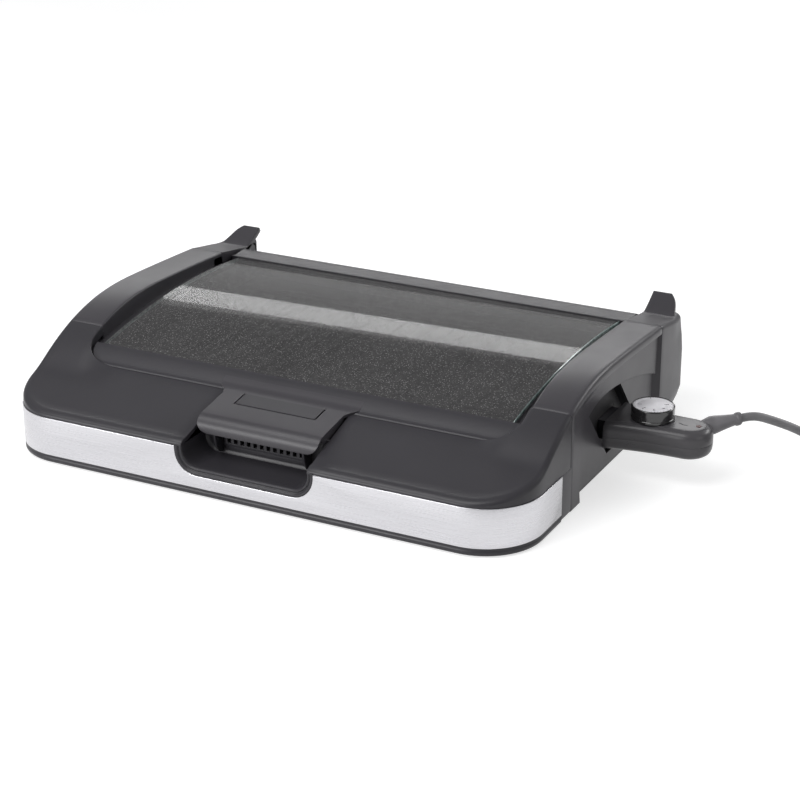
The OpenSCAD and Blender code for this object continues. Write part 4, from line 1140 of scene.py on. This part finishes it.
def about_dial(name, profile):
    """A profile turned about the dial's axis."""
    rows = [
        [(DIAL.x + r * cos(turn), DIAL.y + r * sin(turn), DIAL.z + z) for r, z in profile]
        for turn in spread(0, 2 * pi, 96)[:-1]
    ]
    return skin(name, rows + rows[:1], closed=True)


def make_dial():
    stands_for(about_dial("dial_ring", KNOB_PROFILE), "dial_knob", 40)
    stands_for(about_dial("dial_plate", DISC_PROFILE), "dial_disc", 30)
    marks = [number_mark(str(1 + i), radians(FIRST_NUMBER + NUMBER_STEP * i)) for i in range(5)]
    for tick in range(21):
        marks.append(tick_mark(radians(FIRST_NUMBER + TICK_STEP * tick), 1.6 if tick % 5 == 0 else 0.9))
    marks.append(tick_mark(radians(OFF_MARK), 3.2))
    piece = joined("dial_numbers", *marks)
    done(piece, "dial_disc", slot="dial_gloss", finish=DIAL_INK)


def number_mark(words, angle):
    """A plain number on the dial's disc, its foot towards the middle."""
    mark = started("number", bpy.ops.object.text_add)
    mark.data.body = words
    mark.data.size = 5.4 * MM
    mark.data.align_x = "CENTER"
    mark.data.align_y = "CENTER"
    mark.data.extrude = 0.04 * MM
    bpy.ops.object.convert(target="MESH")
    place = (DIAL + Vector((11.8 * cos(angle), 11.8 * sin(angle), 12.33))) * MM
    mark.data.transform(Matrix.Translation(place) @ Matrix.Rotation(angle - pi / 2, 4, "Z"))
    return mark


def tick_mark(angle, length):
    """A short line across the dial's rim."""
    out = Vector((cos(angle), sin(angle), 0))
    side = Vector((-sin(angle), cos(angle), 0))
    middle = DIAL + Vector((0, 0, 12.3))
    end, start, half = 17.3, 17.3 - length, 0.14
    plan = ((end, -half), (end, half), (start, half), (start, -half))
    return prism("tick", [middle + out * r + side * across for r, across in plan], (0, 0, 0.06))


# ---- cord ----

EXIT = Vector((359, 65, 51.5))
EXIT_DEGREES = 43.6
EXIT_TURN = radians(EXIT_DEGREES)
CORD_R = 4
ALONG = Vector((cos(EXIT_TURN), sin(EXIT_TURN), 0))
# Way of the cord from the exit to the right and to the back, and its drop
CORD_ROUTE = (
    (0, 0, 0), (6, 6, -0.4), (13, 12.5, 0.8), (22, 21, 5.4), (36, 34.5, 14.2),
    (50, 48, 24.8), (65, 62, 34.7), (79, 75.5, 42.3), (90, 86, 45.9), (102, 97.5, 47.3),
)
COIL_PITCH = 8.6
COIL_TURNS = 4 + (EXIT_DEGREES + 90) / 360
END_RUN = 8
PLUG_LEAD = 20
PLUG_Z = 19.2
CORD_LENGTH = 1500
RINGS_A_TURN = 24


def coil_points(route):
    """The rest of the cord: in on the table, a layer up where it reverses, out again and up to the plug."""
    used = sum((b - a).length for a, b in zip(route, route[1:])) + END_RUN + PLUG_LEAD
    round_share = 2 * RINGS_A_TURN * sin(pi / RINGS_A_TURN)
    inner = (CORD_LENGTH - used) / (round_share * COIL_TURNS) - COIL_PITCH * COIL_TURNS / 4
    outer = inner + COIL_PITCH * COIL_TURNS / 2
    middle = route[-1] + END_RUN * ALONG + outer * Vector((ALONG.y, -ALONG.x, 0))
    climb = PLUG_Z - route[-1].z - COIL_PITCH
    points = []
    steps = round(RINGS_A_TURN * COIL_TURNS)
    for turn in spread(0, COIL_TURNS, steps):
        angle = EXIT_TURN + pi / 2 - 2 * pi * turn
        r = inner + COIL_PITCH * abs(turn - COIL_TURNS / 2)
        layer = soft_step(turn, COIL_TURNS / 2 - 0.25, COIL_TURNS / 2 + 0.25)
        rise = soft_step(turn, COIL_TURNS - 0.2, COIL_TURNS)
        points.append(middle + Vector((r * cos(angle), r * sin(angle), COIL_PITCH * layer + climb * rise)))
    points.append(points[-1] + Vector((0, -END_RUN, 0)))
    points.append(points[-1] + Vector((0, -PLUG_LEAD, 0)))
    return points


def smooth_through(points, steps):
    """Points of a smooth line through the given ones."""
    line = []
    for i in range(len(points) - 1):
        a, b = points[max(i - 1, 0)], points[i]
        c, d = points[i + 1], points[min(i + 2, len(points) - 1)]
        for t in spread(0, 1, steps)[:-1]:
            second, third = 2 * a - 5 * b + 4 * c - d, 3 * b - a - 3 * c + d
            line.append(0.5 * (2 * b + (c - a) * t + second * t * t + third * t**3))
    return line + [points[-1]]


def make_cord():
    route = [EXIT + Vector((x, y, -drop)) for x, y, drop in CORD_ROUTE]
    line = smooth_through(route, 3) + coil_points(route)
    curve = bpy.data.curves.new("mains_cord", "CURVE")
    curve.dimensions = "3D"
    curve.bevel_depth = CORD_R * MM
    curve.bevel_resolution = 5
    curve.use_fill_caps = True
    spline = curve.splines.new("POLY")
    spline.points.add(len(line) - 1)
    for point, place in zip(spline.points, line):
        point.co = (*(place * MM), 1)
    piece = linked("mains_cord", curve)
    done(piece, "cord")
    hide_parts("cord", "cord_coil")
    make_relief()
    plug = stands_for(softened("plug_body", 1.2, 3), "plug_body")
    pins = stands_for(softened("plug_pins", 0.6, 3), "plug_pins")
    tie = stands_for(softened("coil_tie", 0.5), "coil_tie")


# Strain relief: place along the cord's exit and radius, and its rise along the way
RELIEF = (
    (-40, 0), (-40, 6), (-34, 7.4), (-29, 8.6), (-25, 8.2), (-20, 7.3), (-14, 6.3), (-9, 5.6),
    (-5.4, 5.2), (-5, 5.3), (-4.6, 5.9), (-3.8, 6.1), (-1.4, 6.1), (-0.4, 5.7), (0, 4.8), (0, 0),
)
RELIEF_RISE = 0.13


def make_relief():
    side = Vector((-ALONG.y, ALONG.x, 0))
    up = Vector((0, 0, 1))
    along = ALONG + up * RELIEF_RISE
    rows = [
        [tuple(EXIT + along * run + side * (r * cos(turn)) + up * (r * sin(turn))) for run, r in RELIEF]
        for turn in spread(0, 2 * pi, 48)[:-1]
    ]
    stands_for(skin("cord_relief", rows + rows[:1]), "strain_relief", 40, RELIEF_RUBBER)


# ---- room ----


def make_floor():
    """Pale floor that glows where it is seen, also in mirrors and through glass."""
    floor = started("floor", bpy.ops.mesh.primitive_plane_add, size=16, location=(0, 0, 0))
    finish = Finish("pale_floor")
    camera, mirrored_rays = finish.rays()
    faint = finish.noise(3, 2)
    paint = finish.node("ShaderNodeBsdfPrincipled", None, {
        "Base Color": finish.mix(faint.between(0.3, 0.7), (0.55, 0.55, 0.55), (0.57, 0.57, 0.57)),
        "Roughness": 0.9,
        "Specular IOR Level": 0.1,
    })
    strength = (camera + mirrored_rays) * 0.65
    glow = finish.node("ShaderNodeEmission", None, {"Color": (1.0, 1.0, 1.0), "Strength": strength})
    both = finish.node("ShaderNodeAddShader", None, {0: paint, 1: glow})
    floor.data.materials.append(finish.closed(both))


def make_surround():
    """White for the camera, dimmer as a light; metal and glass mirror part of the white."""
    room = Finish("room", bpy.data.worlds)
    camera, mirrored_rays = room.rays()
    light = room.node("ShaderNodeBackground", None, {"Color": (0.97, 0.98, 1.0), "Strength": 0.24})
    white = room.node("ShaderNodeBackground", None, {"Color": (1.0, 1.0, 1.0), "Strength": 1.0})
    share = camera + mirrored_rays * 0.12
    surround = room.node("ShaderNodeMixShader", None, {0: share, 1: light, 2: white})
    bpy.context.scene.world = room.closed(surround, "ShaderNodeOutputWorld")


def lamp(name, place, turn, size, power):
    """A rectangular area lamp."""
    light = bpy.data.lights.new(name, "AREA")
    light.shape = "RECTANGLE"
    light.size, light.size_y = size
    light.energy = power
    holder = linked(name, light)
    holder.location = place
    holder.rotation_euler = turn.to_euler()


def make_lamps():
    for name, place, aim, size, power in (
        ("overhead", (-0.5, -0.9, 1.9), (0, -0.05, 0.05), (1.6, 1.0), 24),
        ("front", (-1.2, -2.4, 0.95), (0, -0.1, 0.05), (1.6, 0.8), 41),
        ("right", (2.2, -0.5, 0.9), (0.1, 0, 0.05), (1.0, 1.0), 4),
        ("behind", (-1.3, 2.7, 1.15), (0, 0, 0.08), (3.6, 1.0), 9),
        ("behind_right", (1.45, 2.05, 1.4), (0, 0, 0.08), (1.4, 0.7), 20),
    ):
        lamp(name, place, (Vector(aim) - Vector(place)).to_track_quat("-Z", "Y"), size, power)
    # Long narrow lamp whose mirror image lies across the glass
    upright = Matrix.Rotation(pi / 2, 4, "X") @ Matrix.Rotation(pi, 4, "Y")
    lamp("strip", (-0.86, 1.5, 0.895), Matrix.Rotation(radians(6.2), 4, "Y") @ upright, (1.9, 0.2), 6.2)


# ---- putting it together ----

bpy.context.scene.view_settings.view_transform = "Standard"
place_camera()
make_cord()
make_floor()
make_surround()
make_lamps()
make_front_cover()
make_skirt()
make_recess()
make_comb()
make_arm("right_arm", 1)
make_arm("left_arm", -1)
make_socket_well()
make_rear_post("right_rear_post", 1)
make_rear_post("left_rear_post", -1)
make_front_strip()
make_rear_strip()
make_handle()
make_inlay()
make_glass()
make_thermostat()
make_dial()

for node, width, segments in (
    ("steel_band", 0.35, 2), ("grill_plate", 0.9, 2), ("rear_panel", 0.8, 2), ("feet", 0.8, 2),
):
    stands_for(softened(node, width, segments), node)

for node, solid in frame["nodes"].items():
    if not solid.hide_render:
        painted(solid, SHROUD_STEEL if node == "socket_shroud" else FINISHES[SLOT_OF[node]])
